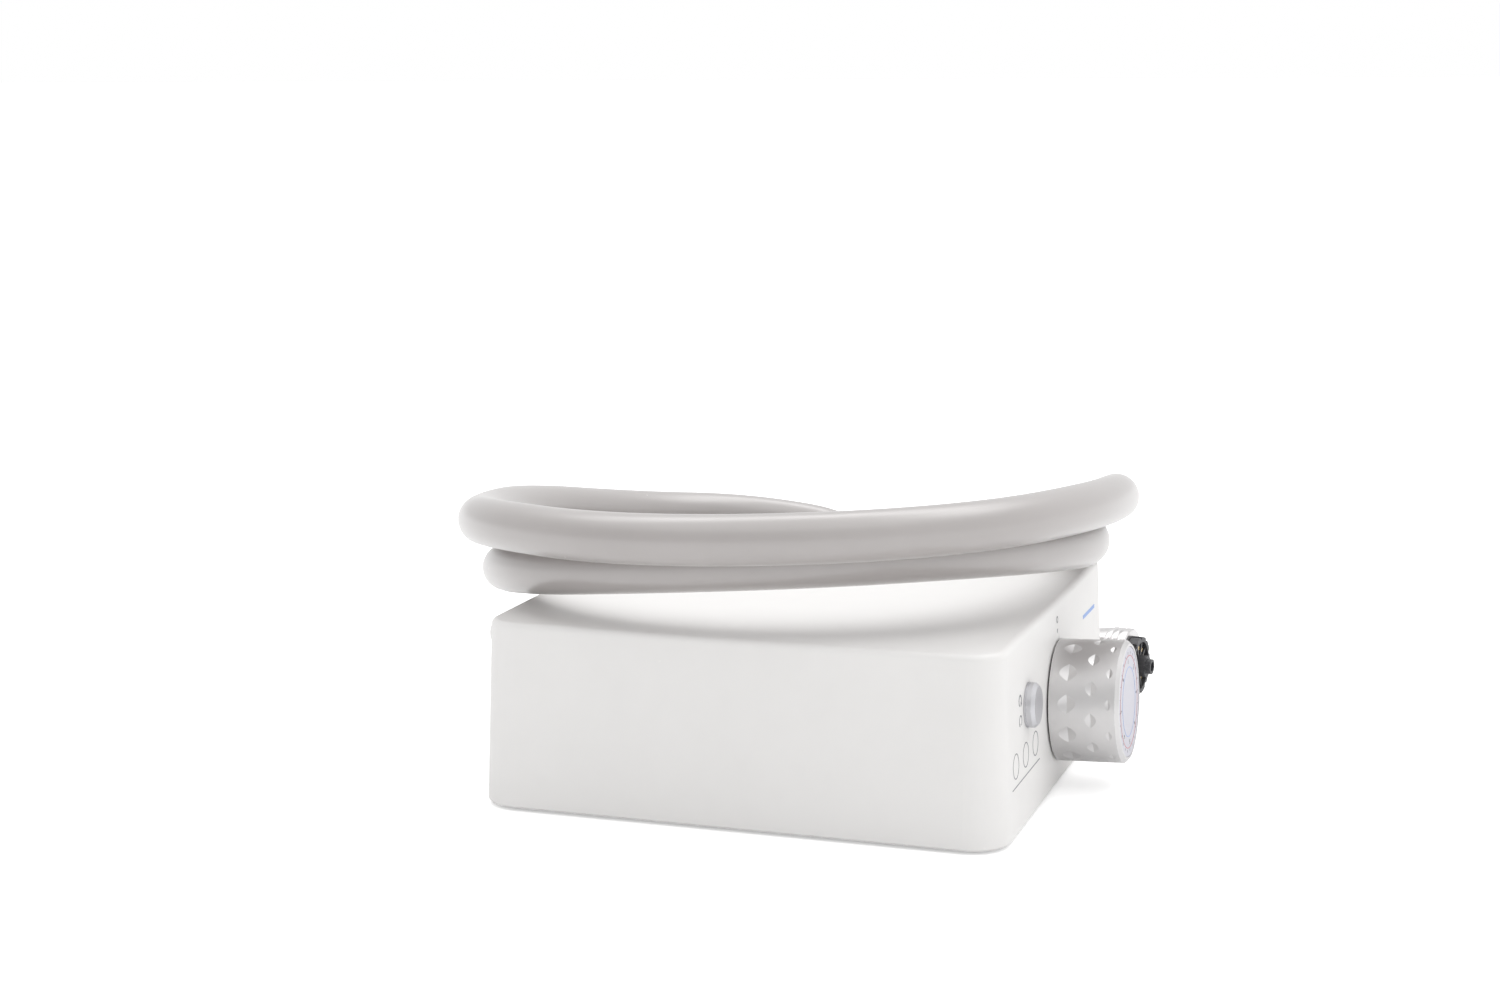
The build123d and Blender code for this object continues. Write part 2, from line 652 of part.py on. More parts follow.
relief_dir = (hose_spots[1] - hose_spots[0]).normalized()
relief_plane = Plane(origin=hose_spots[0], z_dir=relief_dir)
with BuildPart() as strain_relief:
    with BuildSketch(relief_plane):
        Circle(RELIEF_R)
    with BuildSketch(relief_plane.offset(RELIEF_LENGTH)):
        Circle(HOSE_R + 0.9)
    loft()
    with BuildSketch(relief_plane):
        Circle(HOSE_R)
    extrude(amount=RELIEF_LENGTH, mode=Mode.SUBTRACT)
save(strain_relief.part, "strain_relief")

# ---------------------------------------------------------------- connector on the hose's far end
tail = (hose_spots[-1] - hose_spots[-2]).normalized()
tail_plane = Plane(origin=hose_spots[-1], x_dir=(0, 0, 1), z_dir=tail)


def turned(outline):
    """A piece turned about the connector's axis from (distance along, radius) points."""
    with BuildPart() as piece:
        with BuildSketch(Plane(origin=tail_plane.origin, x_dir=tail_plane.z_dir, z_dir=tail_plane.y_dir)):
            with BuildLine():
                Polyline(*outline, close=True)
            make_face()
        revolve(axis=Axis(tail_plane.origin, tail_plane.z_dir))
    return piece.part


NUT_START = 6.2          # along the connector's axis from the hose's cut end
NUT_END = 22.3
NUT_BORE = 8.0
GRIP_START = 16.0        # rings that the fingers hold
GRIP_RINGS = 3
GRIP_STEP = 1.75
GRIP_R = 10.15
GRIP_DEEP = 0.55
INSERT_R = 8.05
INSERT_START = 22.5
INSERT_FACE = 25.2
SEAL_BORE = 5.6
LOBES = 10
LOBE_R = 0.75
POCKET_OUT = 6.7
POCKET_DEEP = 2.2
RIB_THICK = 0.7
RIB_LOW = 0.5            # the ribs' tops, below the face
HUB_R = 3.0
HUB_END = 27.0
STUB_R = 2.1
STUB_WALL = 0.7
STUB_DEEP = 2.2
STUB_END = 28.4
CONTACT_R = 0.6

connector_body = turned([
    (0, 0), (0, 7.2), (1.0, 8.2), (5.0, 8.6), (6.0, 8.6), (6.0, 7.6), (13.0, 7.6), (13.0, 7.0),
    (NUT_END - 0.8, 7.0), (NUT_END - 0.8, 0),
])
save(connector_body, "connector_body")

nut_outline = [
    (NUT_START, NUT_BORE), (NUT_START, 8.4), (NUT_START + 0.4, 8.6), (GRIP_START, 9.9),
]
for ring in range(GRIP_RINGS):
    start = GRIP_START + ring * GRIP_STEP
    low = GRIP_R - GRIP_DEEP
    nut_outline += [(start + 0.3, low), (start + 0.8, low), (start + 1.1, GRIP_R), (start + GRIP_STEP, GRIP_R)]
nut_outline += [
    (NUT_END - 0.4, GRIP_R), (NUT_END, GRIP_R - 0.4), (NUT_END, 7.4), (13.6, 7.4), (13.6, NUT_BORE),
]
coupling_nut = turned(nut_outline)
save(coupling_nut, "coupling_nut")

connector_seal = turned([
    (NUT_END - 0.8, SEAL_BORE), (NUT_END - 0.8, 7.0), (INSERT_START, 7.0), (INSERT_START, SEAL_BORE),
])
save(connector_seal, "connector_seal")

with BuildPart() as connector_insert:
    with BuildSketch(tail_plane.offset(NUT_END - 0.8)):
        Circle(SEAL_BORE)
    extrude(amount=INSERT_START - NUT_END + 0.8)
    with BuildSketch(tail_plane.offset(INSERT_START)):
        Circle(INSERT_R)
        with PolarLocations(INSERT_R, LOBES):
            Circle(LOBE_R, mode=Mode.SUBTRACT)
    extrude(amount=INSERT_FACE - INSERT_START)
    # pockets between the ribs, open at the face
    with BuildSketch(tail_plane.offset(INSERT_FACE)):
        Circle(POCKET_OUT)
        Circle(HUB_R, mode=Mode.SUBTRACT)
    extrude(amount=-POCKET_DEEP, mode=Mode.SUBTRACT)
    with BuildSketch(tail_plane.offset(INSERT_FACE - POCKET_DEEP)):
        with PolarLocations((HUB_R + POCKET_OUT) / 2, LOBES, start_angle=180 / LOBES):
            Rectangle(POCKET_OUT - HUB_R + 0.4, RIB_THICK)
    extrude(amount=POCKET_DEEP - RIB_LOW)
    with BuildSketch(tail_plane.offset(INSERT_FACE - POCKET_DEEP)):
        Circle(HUB_R)
    extrude(amount=HUB_END - INSERT_FACE + POCKET_DEEP)
    with BuildSketch(tail_plane.offset(HUB_END)):
        Circle(STUB_R)
    extrude(amount=STUB_END - HUB_END)
    with BuildSketch(tail_plane.offset(STUB_END)):
        Circle(STUB_R - STUB_WALL)
    extrude(amount=-STUB_DEEP, mode=Mode.SUBTRACT)
save(connector_insert.part, "connector_insert")

with BuildPart() as contact_pins:
    with BuildSketch(tail_plane.offset(INSERT_FACE - POCKET_DEEP)):
        with PolarLocations((HUB_R + POCKET_OUT) / 2, LOBES):
            Circle(CONTACT_R)
    extrude(amount=1.4)
save(contact_pins.part, "contact_pins")
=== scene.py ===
"""Looks of a tabletop control unit for a small electric handpiece motor, with its hose coiled on the lid.

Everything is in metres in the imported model's own frame: the control panel faces -Y, the rear bay
faces +Y and the unit stands on z = 0.
"""

import logging
import math
from dataclasses import dataclass
from enum import Enum
from functools import reduce
from typing import Callable, Sequence, Union

import bmesh
import bpy
from mathutils import Matrix, Quaternion, Vector


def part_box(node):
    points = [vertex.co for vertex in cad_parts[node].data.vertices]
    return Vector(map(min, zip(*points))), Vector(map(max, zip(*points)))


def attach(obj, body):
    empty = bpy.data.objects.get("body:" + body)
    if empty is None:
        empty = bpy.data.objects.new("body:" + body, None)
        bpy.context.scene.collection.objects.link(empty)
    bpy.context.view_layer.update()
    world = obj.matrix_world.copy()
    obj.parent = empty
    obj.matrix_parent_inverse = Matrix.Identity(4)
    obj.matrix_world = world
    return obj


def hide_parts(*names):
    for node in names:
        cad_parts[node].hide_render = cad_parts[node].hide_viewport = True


Colour = tuple[float, float, float]
Point = tuple[float, float, float]
Flat = tuple[float, float]
Value = Union[float, Colour, bpy.types.NodeSocket]

LOG = logging.getLogger("control_unit")
MM = 0.001
INK_THICK = 0.05 * MM  # how far a printed mark rises from its face
INK_SUNK = 0.02 * MM  # how far it reaches into its face
WELD = 0.001 * MM
DUST_COLOUR: Colour = (0.85, 0.84, 0.82)
DUST_SHARE = 0.45  # how much a speck of dust hides the colour under it
DUST_ROUGHNESS = 0.4
PORE_SCALE = 0.023  # the soft gloss patches, as a share of the grain's scale
CLOSE_SCALE = 7.3  # the small colour patches are this many times finer than the wide ones
WIDE_SHARE, CLOSE_SHARE = 0.7, 0.3
FINE_SHARE, SOFT_SHARE = 0.35, 0.65
TONE_RUN: Flat = (0.3, 0.72)
EDGE_RUN: Flat = (0.985, 0.85)  # cosines between the rounded and the true normal
CHIP_SCALE = 900.0  # chips per metre along a worn edge
CHIP_RUN: Flat = (0.42, 0.62)
BRUSH_STRETCH: Point = (0.05, 1.0, 1.0)  # a brushed skin's grain is long along X

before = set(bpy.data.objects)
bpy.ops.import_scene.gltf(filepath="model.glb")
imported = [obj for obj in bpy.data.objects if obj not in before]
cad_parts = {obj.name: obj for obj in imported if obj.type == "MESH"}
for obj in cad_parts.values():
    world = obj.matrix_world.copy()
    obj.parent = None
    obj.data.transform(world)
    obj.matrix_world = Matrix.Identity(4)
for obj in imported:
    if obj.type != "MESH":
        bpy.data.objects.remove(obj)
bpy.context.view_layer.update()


class Body(Enum):
    """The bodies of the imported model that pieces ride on."""

    UNIT = "unit"
    KNOB = "knob"
    BUTTON = "button"
    ROCKER = "rocker"
    COUPLING = "coupling"


class Skin(Enum):
    """The kinds of fine relief a surface can have."""

    MOULDED = "moulded"
    BLASTED = "blasted"
    BRUSHED = "brushed"


# ---------------------------------------------------------------- node graphs
class Graph:
    """Adds and links nodes in one node tree.

    Args:
        tree: The material's or group's node tree.
    """

    def __init__(self, tree: bpy.types.NodeTree) -> None:
        """Keep the tree that the nodes go into."""
        self.tree = tree

    def node(self, kind: str, **settings: object) -> bpy.types.Node:
        """Add a node.

        Args:
            kind: The node's Blender type without "ShaderNode".
            settings: Properties to set on it.

        Returns:
            The new node.
        """
        made = self.tree.nodes.new(f"ShaderNode{kind}")
        for key, value in settings.items():
            setattr(made, key, value)
        return made

    def feed(self, socket: bpy.types.NodeSocket, value: Value) -> None:
        """Link a socket's value into an input, or set the input to a plain value.

        Args:
            socket: The input.
            value: An output socket, a number or a colour.
        """
        if isinstance(value, bpy.types.NodeSocket):
            self.tree.links.new(value, socket)
        elif isinstance(value, tuple) and len(socket.default_value) == 4:
            socket.default_value = (*value, 1.0)
        else:
            socket.default_value = value

    def math(self, operation: str, first: Value, second: Value = 0.0) -> bpy.types.NodeSocket:
        """Return the result of a Math node."""
        made = self.node("Math", operation=operation)
        self.feed(made.inputs[0], first)
        self.feed(made.inputs[1], second)
        return made.outputs[0]

    def add(self, *terms: Value) -> bpy.types.NodeSocket:
        """Return the sum of two or more values."""
        return reduce(lambda total, term: self.math("ADD", total, term), terms)

    def times(self, *factors: Value) -> bpy.types.NodeSocket:
        """Return the product of two or more values."""
        return reduce(lambda total, factor: self.math("MULTIPLY", total, factor), factors)

    def vector(self, operation: str, first: Value, second: Value = (0.0, 0.0, 0.0)) -> bpy.types.Node:
        """Return a Vector Math node with both vectors fed."""
        made = self.node("VectorMath", operation=operation)
        self.feed(made.inputs[0], first)
        self.feed(made.inputs[1], second)
        return made

    def spread(self, value: Value, low: Value, high: Value, to_low: float = 0.0,
               to_high: float = 1.0) -> bpy.types.NodeSocket:
        """Return value mapped smoothly from low..high to to_low..to_high."""
        made = self.node("MapRange", interpolation_type="SMOOTHSTEP")
        for socket, given in zip(made.inputs, (value, low, high, to_low, to_high)):
            self.feed(socket, given)
        return made.outputs[0]

    def mix(self, share: Value, first: Value, second: Value) -> bpy.types.NodeSocket:
        """Return two colours mixed by a share."""
        made = self.node("Mix", data_type="RGBA")
        self.feed(made.inputs[0], share)
        self.feed(made.inputs[6], first)
        self.feed(made.inputs[7], second)
        return made.outputs[2]

    def noise(self, where: Value, scale: Value, detail: float = 2.0) -> bpy.types.NodeSocket:
        """Return a noise value from 0 to 1 at some places."""
        made = self.node("TexNoise")
        self.feed(made.inputs["Vector"], where)
        self.feed(made.inputs["Scale"], scale)
        self.feed(made.inputs["Detail"], detail)
        return made.outputs["Fac"]


@dataclass(frozen=True)
class Effect:
    """A shader node group that several materials place with their own values.

    Attributes:
        name: The group's name.
        takes: Its inputs, as (name, kind, value where nothing is given).
        gives: Its outputs, as (name, kind).
        wire: Draws the inside from the group's graph, its input node and its output node.
    """

    name: str
    takes: Sequence[tuple[str, str, object]]
    gives: Sequence[tuple[str, str]]
    wire: Callable[[Graph, bpy.types.Node, bpy.types.Node], None]

    def tree(self) -> bpy.types.NodeTree:
        """Return the group's tree, built the first time it is asked for."""
        found = bpy.data.node_groups.get(self.name)
        if found:
            return found
        made = bpy.data.node_groups.new(self.name, "ShaderNodeTree")
        for name, kind, value in self.takes:
            socket = made.interface.new_socket(name, in_out="INPUT", socket_type=f"NodeSocket{kind}")
            if value is not None:
                socket.default_value = value
        for name, kind in self.gives:
            made.interface.new_socket(name, in_out="OUTPUT", socket_type=f"NodeSocket{kind}")
        graph = Graph(made)
        self.wire(graph, made.nodes.new("NodeGroupInput"), made.nodes.new("NodeGroupOutput"))
        return made

    def place(self, graph: Graph, **values: Value) -> dict[str, bpy.types.NodeSocket]:
        """Put the group in a material.

        Args:
            graph: The material's graph.
            values: What goes into the group's inputs, with _ for the spaces in their names.

        Returns:
            The group's outputs by name.
        """
        made = graph.node("Group", node_tree=self.tree())
        for key, value in values.items():
            graph.feed(made.inputs[key.replace("_", " ")], value)
        return {socket.name: socket for socket in made.outputs}


def wire_tone(graph: Graph, given: bpy.types.Node, out: bpy.types.Node) -> None:
    """Draw the slow drift of a surface's colour between two tones."""
    wide = graph.noise(given.outputs["Place"], given.outputs["Scale"], 3.0)
    close = graph.noise(given.outputs["Place"], graph.times(given.outputs["Scale"], CLOSE_SCALE))
    both = graph.add(graph.times(wide, WIDE_SHARE), graph.times(close, CLOSE_SHARE))
    share = graph.times(graph.spread(both, *TONE_RUN), given.outputs["Amount"])
    graph.feed(out.inputs["Colour"], graph.mix(share, given.outputs["Colour"], given.outputs["Shade"]))
    graph.feed(out.inputs["Mask"], share)


def wire_grain(graph: Graph, given: bpy.types.Node, out: bpy.types.Node) -> None:
    """Draw a fine relief, with a gloss that changes with it."""
    fine = graph.noise(given.outputs["Place"], given.outputs["Scale"], 3.0)
    soft = graph.noise(given.outputs["Place"], graph.times(given.outputs["Scale"], PORE_SCALE), 3.0)
    graph.feed(out.inputs["Height"], graph.times(fine, given.outputs["Depth"]))
    swing = graph.add(graph.times(fine, FINE_SHARE), graph.times(soft, SOFT_SHARE))
    swing = graph.times(graph.math("SUBTRACT", swing, 0.5), given.outputs["Swing"])
    graph.feed(out.inputs["Roughness"], graph.add(given.outputs["Roughness"], swing))


def wire_wear(graph: Graph, given: bpy.types.Node, out: bpy.types.Node) -> None:
    """Draw a broken mask along the edges, where the rounded normal leaves the true one."""
    rounded = graph.node("Bevel", samples=4)
    graph.feed(rounded.inputs["Radius"], given.outputs["Width"])
    true = graph.node("NewGeometry")
    turn = graph.vector("DOT_PRODUCT", rounded.outputs[0], true.outputs["Normal"]).outputs["Value"]
    edge = graph.spread(turn, *EDGE_RUN)
    broken = graph.spread(graph.noise(given.outputs["Place"], CHIP_SCALE, 3.0), *CHIP_RUN)
    mask = graph.times(edge, broken, given.outputs["Amount"])
    graph.feed(out.inputs["Mask"], mask)


def wire_specks(graph: Graph, given: bpy.types.Node, out: bpy.types.Node) -> None:
    """Draw sparse small specks, such as dust that has settled."""
    cells = graph.node("TexVoronoi")
    graph.feed(cells.inputs["Vector"], given.outputs["Place"])
    graph.feed(cells.inputs["Scale"], given.outputs["Scale"])
    chosen = graph.node("SeparateColor")
    graph.feed(chosen.inputs[0], cells.outputs["Color"])
    kept = graph.math("LESS_THAN", chosen.outputs[0], given.outputs["Share"])
    size = graph.times(chosen.outputs[1], given.outputs["Size"])
    dot = graph.math("LESS_THAN", cells.outputs["Distance"], size)
    graph.feed(out.inputs["Mask"], graph.times(kept, dot))


def wire_turning(graph: Graph, given: bpy.types.Node, out: bpy.types.Node) -> None:
    """Draw the fine rings that a lathe tool leaves round an axis, on sides and faces alike."""
    arm = graph.vector("SUBTRACT", given.outputs["Place"], given.outputs["Centre"]).outputs[0]
    along = graph.vector("DOT_PRODUCT", arm, given.outputs["Axis"]).outputs["Value"]
    length = graph.vector("LENGTH", arm).outputs["Value"]
    squares = graph.math("SUBTRACT", graph.math("POWER", length, 2.0), graph.math("POWER", along, 2.0))
    out_from_axis = graph.math("SQRT", graph.math("MAXIMUM", squares, 0.0))
    way = graph.node("CombineXYZ")
    graph.feed(way.inputs[0], along)
    graph.feed(way.inputs[1], out_from_axis)
    rings = graph.noise(way.outputs[0], given.outputs["Scale"])
    graph.feed(out.inputs["Height"], graph.times(rings, given.outputs["Depth"]))
    graph.feed(out.inputs["Mask"], rings)


TONE = Effect(
    "drifting_tone",
    (("Place", "Vector", None), ("Colour", "Color", None), ("Shade", "Color", None),
     ("Scale", "Float", 40.0), ("Amount", "Float", 0.5)),
    (("Colour", "Color"), ("Mask", "Float")),
    wire_tone,
)
GRAIN = Effect(
    "fine_grain",
    (("Place", "Vector", None), ("Scale", "Float", 3000.0), ("Depth", "Float", 1e-5),
     ("Roughness", "Float", 0.4), ("Swing", "Float", 0.1)),
    (("Height", "Float"), ("Roughness", "Float")),
    wire_grain,
)
WEAR = Effect(
    "edge_wear",
    (("Place", "Vector", None), ("Width", "Float", 0.0004), ("Amount", "Float", 0.5)),
    (("Mask", "Float"),),
    wire_wear,
)
SPECKS = Effect(
    "settled_specks",
    (("Place", "Vector", None), ("Scale", "Float", 500.0), ("Share", "Float", 0.03), ("Size", "Float", 0.2)),
    (("Mask", "Float"),),
    wire_specks,
)
TURNING = Effect(
    "lathe_rings",
    (("Place", "Vector", None), ("Centre", "Vector", None), ("Axis", "Vector", None),
     ("Scale", "Float", 6000.0), ("Depth", "Float", 4e-6)),
    (("Height", "Float"), ("Mask", "Float")),
    wire_turning,
)


# ---------------------------------------------------------------- finishes
@dataclass(frozen=True)
class Finish:
    """How one surface looks.

    Attributes:
        name: The material's name.
        colour: Its main tone.
        shade: The tone it drifts to.
        drift: How far it drifts, from 0 to 1.
        blotch: The drift's patches per metre.
        roughness: Its middle roughness.
        swing: How much the roughness changes over the surface.
        metallic: 1 for bare metal.
        skin: The kind of fine relief.
        grain: The relief's grains per metre.
        depth: The relief's depth in metres.
        wear: How much the edges are worn.
        worn: The colour that shows there.
        specks: The share of cells that hold a speck of dust.
        specular: The shader's specular level.
        coat: The weight of a clear coat.
        coat_roughness: The clear coat's roughness.
        coat_ior: The clear coat's index of refraction.
    """

    name: str
    colour: Colour
    shade: Colour
    drift: float = 0.4
    blotch: float = 35.0
    roughness: float = 0.4
    swing: float = 0.12
    metallic: float = 0.0
    skin: Skin = Skin.MOULDED
    grain: float = 2600.0
    depth: float = 6e-6
    wear: float = 0.3
    worn: Colour = (0.8, 0.8, 0.8)
    specks: float = 0.02
    specular: float = 0.5
    coat: float = 0.0
    coat_roughness: float = 0.2
    coat_ior: float = 1.5

    def place(self, graph: Graph) -> Value:
        """Return the coordinates that the fine relief is drawn in."""
        where = graph.node("TexCoord").outputs["Object"]
        if self.skin is Skin.BRUSHED:
            return graph.vector("MULTIPLY", where, BRUSH_STRETCH).outputs[0]
        return where

    def paint(self, graph: Graph, where: Value, colour: Value) -> Value:
        """Return the colour with this finish's own pattern on it."""
        return colour

    def relief(self, graph: Graph, where: Value, height: Value) -> Value:
        """Return the height with this finish's own relief added."""
        return height

    def material(self) -> bpy.types.Material:
        """Return the finish's material, built the first time it is asked for."""
        found = bpy.data.materials.get(self.name)
        if found:
            return found
        made = bpy.data.materials.new(self.name)
        made.use_nodes = True
        made.node_tree.nodes.clear()
        made.diffuse_color = (*self.colour, 1.0)
        graph = Graph(made.node_tree)
        shader = graph.node("BsdfPrincipled")
        out = graph.node("OutputMaterial")
        graph.feed(out.inputs["Surface"], shader.outputs[0])
        for socket, value in (("Metallic", self.metallic), ("Specular IOR Level", self.specular),
                              ("Coat Weight", self.coat), ("Coat Roughness", self.coat_roughness),
                              ("Coat IOR", self.coat_ior)):
            shader.inputs[socket].default_value = value
        where = graph.node("TexCoord").outputs["Object"]
        tone = TONE.place(graph, Place=where, Colour=self.colour, Shade=self.shade,
                          Scale=self.blotch, Amount=self.drift)["Colour"]
        tone = self.paint(graph, where, tone)
        if self.wear:
            edge = WEAR.place(graph, Place=where, Amount=self.wear)["Mask"]
            tone = graph.mix(edge, tone, self.worn)
        grain = GRAIN.place(graph, Place=self.place(graph), Scale=self.grain, Depth=self.depth,
                            Roughness=self.roughness, Swing=self.swing)
        rough = grain["Roughness"]
        if self.specks:
            dust = SPECKS.place(graph, Place=where, Share=self.specks)["Mask"]
            dust = graph.times(dust, DUST_SHARE)
            tone = graph.mix(dust, tone, DUST_COLOUR)
            rough = graph.add(rough, graph.times(dust, DUST_ROUGHNESS))
        graph.feed(shader.inputs["Base Color"], tone)
        graph.feed(shader.inputs["Roughness"], rough)
        bump = graph.node("Bump")
        bump.inputs["Strength"].default_value = 1.0
        bump.inputs["Distance"].default_value = 1.0
        graph.feed(bump.inputs["Height"], self.relief(graph, where, grain["Height"]))
        graph.feed(shader.inputs["Normal"], bump.outputs[0])
        return made

    def dress(self, *nodes: str) -> None:
        """Put the finish on CAD nodes in place of what they were packed with."""
        for name in nodes:
            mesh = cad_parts[name].data
            mesh.materials.clear()
            mesh.materials.append(self.material())

    def coat_piece(self, piece: bpy.types.Object) -> bpy.types.Object:
        """Put the finish on a piece and return it."""
        piece.data.materials.clear()
        piece.data.materials.append(self.material())
        return piece


@dataclass(frozen=True)
class Turned(Finish):
    """Metal or plastic turned on a lathe, with its tool's fine rings.

    Attributes:
        centre: A point on the axis it was turned about.
        axis: The axis's direction.
        rings: Rings per metre.
        ring_depth: The rings' depth in metres.
        ring_tone: How much the rings change the colour.
        ring_run: Where in the rings' noise the colour starts and stops changing.
    """

    centre: Point = (0.0, 0.0, 0.0)
    axis: Point = (0.0, 1.0, 0.0)
    rings: float = 5200.0
    ring_depth: float = 3.5e-6
    ring_tone: float = 0.25
    ring_run: Flat = (0.35, 0.7)

    def rings_of(self, graph: Graph, where: Value) -> dict[str, bpy.types.NodeSocket]:
        """Place the lathe's rings round this finish's axis."""
        return TURNING.place(graph, Place=where, Centre=self.centre, Axis=self.axis,
                             Scale=self.rings, Depth=self.ring_depth)

    def paint(self, graph: Graph, where: Value, colour: Value) -> Value:
        """Darken the colour a little in the rings."""
        rings = self.rings_of(graph, where)["Mask"]
        share = graph.times(graph.spread(rings, *self.ring_run), self.ring_tone)
        return graph.mix(share, colour, self.shade)

    def relief(self, graph: Graph, where: Value, height: Value) -> Value:
        """Add the rings to the height."""
        return graph.add(height, self.rings_of(graph, where)["Height"])


@dataclass(frozen=True)
class Circuit(Finish):
    """A green circuit board with copper tracks under its lacquer.

    Attributes:
        tracks: Tracks per metre.
        stray: How uneven their spacing is, from 0 to 1.
        track_run: Distances from a track's middle at which it fades and is full.
        track_share: How strongly it shows through.
        track_colour: Its colour under the lacquer.
    """

    tracks: float = 260.0
    stray: float = 0.55
    track_run: Flat = (0.10, 0.06)
    track_share: float = 0.6
    track_colour: Colour = (0.16, 0.42, 0.20)

    def paint(self, graph: Graph, where: Value, colour: Value) -> Value:
        """Draw the tracks as the edges of a pattern of cells."""
        cells = graph.node("TexVoronoi", feature="DISTANCE_TO_EDGE", distance="EUCLIDEAN")
        graph.feed(cells.inputs["Vector"], where)
        graph.feed(cells.inputs["Scale"], self.tracks)
        graph.feed(cells.inputs["Randomness"], self.stray)
        track = graph.spread(cells.outputs["Distance"], *self.track_run)
        return graph.mix(graph.times(track, self.track_share), colour, self.track_colour)


@dataclass(frozen=True)
class Wound(Finish):
    """Enamelled wire wound side by side round a ring.

    Attributes:
        centre: The middle of the ring.
        turns: Turns of wire round it.
        gap_shade_run: Heights at which the painted shade in the gap between two turns starts and is full.
        gap_shade_colour: The near-black colour of the painted shade in the gaps.
        rise: How far each turn stands out, in metres.
    """

    centre: Point = (0.0, 0.0, 0.0)
    turns: float = 54.0
    # painted shade: a near-black colour fills the gaps where two turns meet
    gap_shade_run: Flat = (0.45, 0.05)
    gap_shade_colour: Colour = (0.05, 0.02, 0.01)
    rise: float = 0.00025

    def strands(self, graph: Graph, where: Value) -> Value:
        """Return the rounded height of the turns, from 0 to 1."""
        arm = graph.vector("SUBTRACT", where, self.centre).outputs[0]
        split = graph.node("SeparateXYZ")
        graph.feed(split.inputs[0], arm)
        angle = graph.math("ARCTAN2", split.outputs[1], split.outputs[0])
        return graph.math("ABSOLUTE", graph.math("SINE", graph.times(angle, self.turns / 2)))

    def paint(self, graph: Graph, where: Value, colour: Value) -> Value:
        """Paint shade into the gaps between turns, where two turns meet."""
        gap = graph.spread(self.strands(graph, where), *self.gap_shade_run)
        return graph.mix(gap, colour, self.gap_shade_colour)

    def relief(self, graph: Graph, where: Value, height: Value) -> Value:
        """Round each turn."""
        return graph.add(height, graph.times(self.strands(graph, where), self.rise))


@dataclass(frozen=True)
class Banded(Finish):
    """A shrink sleeve with a pale band down one side of each can.

    Attributes:
        band: The band's colour.
        band_run: The share of +X in the normal where the band starts and is full.
        lid: The colour of the can's bare top.
        lid_run: The share of +Z in the normal where the top starts and is full.
    """

    band: Colour = (0.62, 0.66, 0.70)
    band_run: Flat = (0.82, 0.86)
    lid: Colour = (0.72, 0.72, 0.73)
    lid_run: Flat = (0.7, 0.9)

    def paint(self, graph: Graph, where: Value, colour: Value) -> Value:
        """Draw the band where the side faces +X."""
        split = graph.node("SeparateXYZ")
        graph.feed(split.inputs[0], graph.node("NewGeometry").outputs["Normal"])
        facing = graph.spread(split.outputs[0], *self.band_run)
        top = graph.spread(split.outputs[2], *self.lid_run)
        return graph.mix(top, graph.mix(facing, colour, self.band), self.lid)


def ink(name: str, colour: Colour, shade: Colour, roughness: float = 0.4) -> Finish:
    """Return the finish of a printed mark, which has no worn edges and no dust."""
    return Finish(name, colour, shade, roughness=roughness, wear=0.0, specks=0.0)


WHITE_CASE = Finish("white_case", (0.80, 0.79, 0.78), (0.765, 0.755, 0.745), drift=0.5, blotch=22.0,
                    roughness=0.46, swing=0.10, grain=3600.0, depth=3.5e-6, wear=0.25,
                    worn=(0.86, 0.855, 0.85), specks=0.006, specular=0.42)
BASE_GREY = Finish("base_grey", (0.42, 0.43, 0.44), (0.34, 0.35, 0.36), roughness=0.55, wear=0.4,
                   worn=(0.55, 0.55, 0.56), depth=1e-5)
RUBBER = Finish("black_rubber", (0.022, 0.022, 0.023), (0.045, 0.044, 0.043), roughness=0.72, grain=1900.0,
                depth=1.2e-5, wear=0.35, worn=(0.09, 0.09, 0.09), specks=0.05, specular=0.3)
BLACK_PLASTIC = Finish("black_plastic", (0.018, 0.018, 0.02), (0.035, 0.035, 0.037), roughness=0.42,
                       depth=8e-6, wear=0.4, worn=(0.12, 0.12, 0.125))
GLOSS_BLACK = Finish("gloss_black", (0.014, 0.014, 0.016), (0.03, 0.03, 0.03), roughness=0.2,
                     depth=2e-6, wear=0.3, worn=(0.1, 0.1, 0.1), coat=0.4, coat_roughness=0.08)
BLASTED = Finish("blasted_aluminium", (0.70, 0.69, 0.69), (0.60, 0.595, 0.60), roughness=0.40, swing=0.10,
                 metallic=1.0, skin=Skin.BLASTED, grain=5200.0, depth=1e-5, wear=0.7,
                 worn=(0.88, 0.88, 0.89), specks=0.0, blotch=60.0)
SILICONE = Finish("grey_silicone", (0.385, 0.360, 0.352), (0.35, 0.326, 0.318), drift=0.5, blotch=30.0,
                  roughness=0.30, swing=0.05, grain=300.0, depth=3e-6, wear=0.0, specks=0.012,
                  specular=0.9, coat=0.9, coat_roughness=0.30, coat_ior=1.7)
STEEL = Finish("zinc_steel", (0.55, 0.55, 0.54), (0.42, 0.42, 0.40), roughness=0.32, metallic=1.0,
               wear=0.6, worn=(0.8, 0.8, 0.78), depth=4e-6)
NICKEL = Finish("nickel_plate", (0.68, 0.66, 0.62), (0.56, 0.54, 0.50), roughness=0.22, metallic=1.0,
                wear=0.5, worn=(0.85, 0.83, 0.79), depth=2e-6, specks=0.01)
GOLD = Finish("gold_plate", (0.83, 0.62, 0.28), (0.70, 0.50, 0.20), roughness=0.2, metallic=1.0, wear=0.3,
              worn=(0.9, 0.75, 0.45), specks=0.0)
BLACK_METAL = Finish("black_anodised", (0.03, 0.03, 0.032), (0.055, 0.055, 0.06), roughness=0.38,
                     metallic=0.6, skin=Skin.BRUSHED, wear=0.8, worn=(0.55, 0.55, 0.56), depth=1e-5)
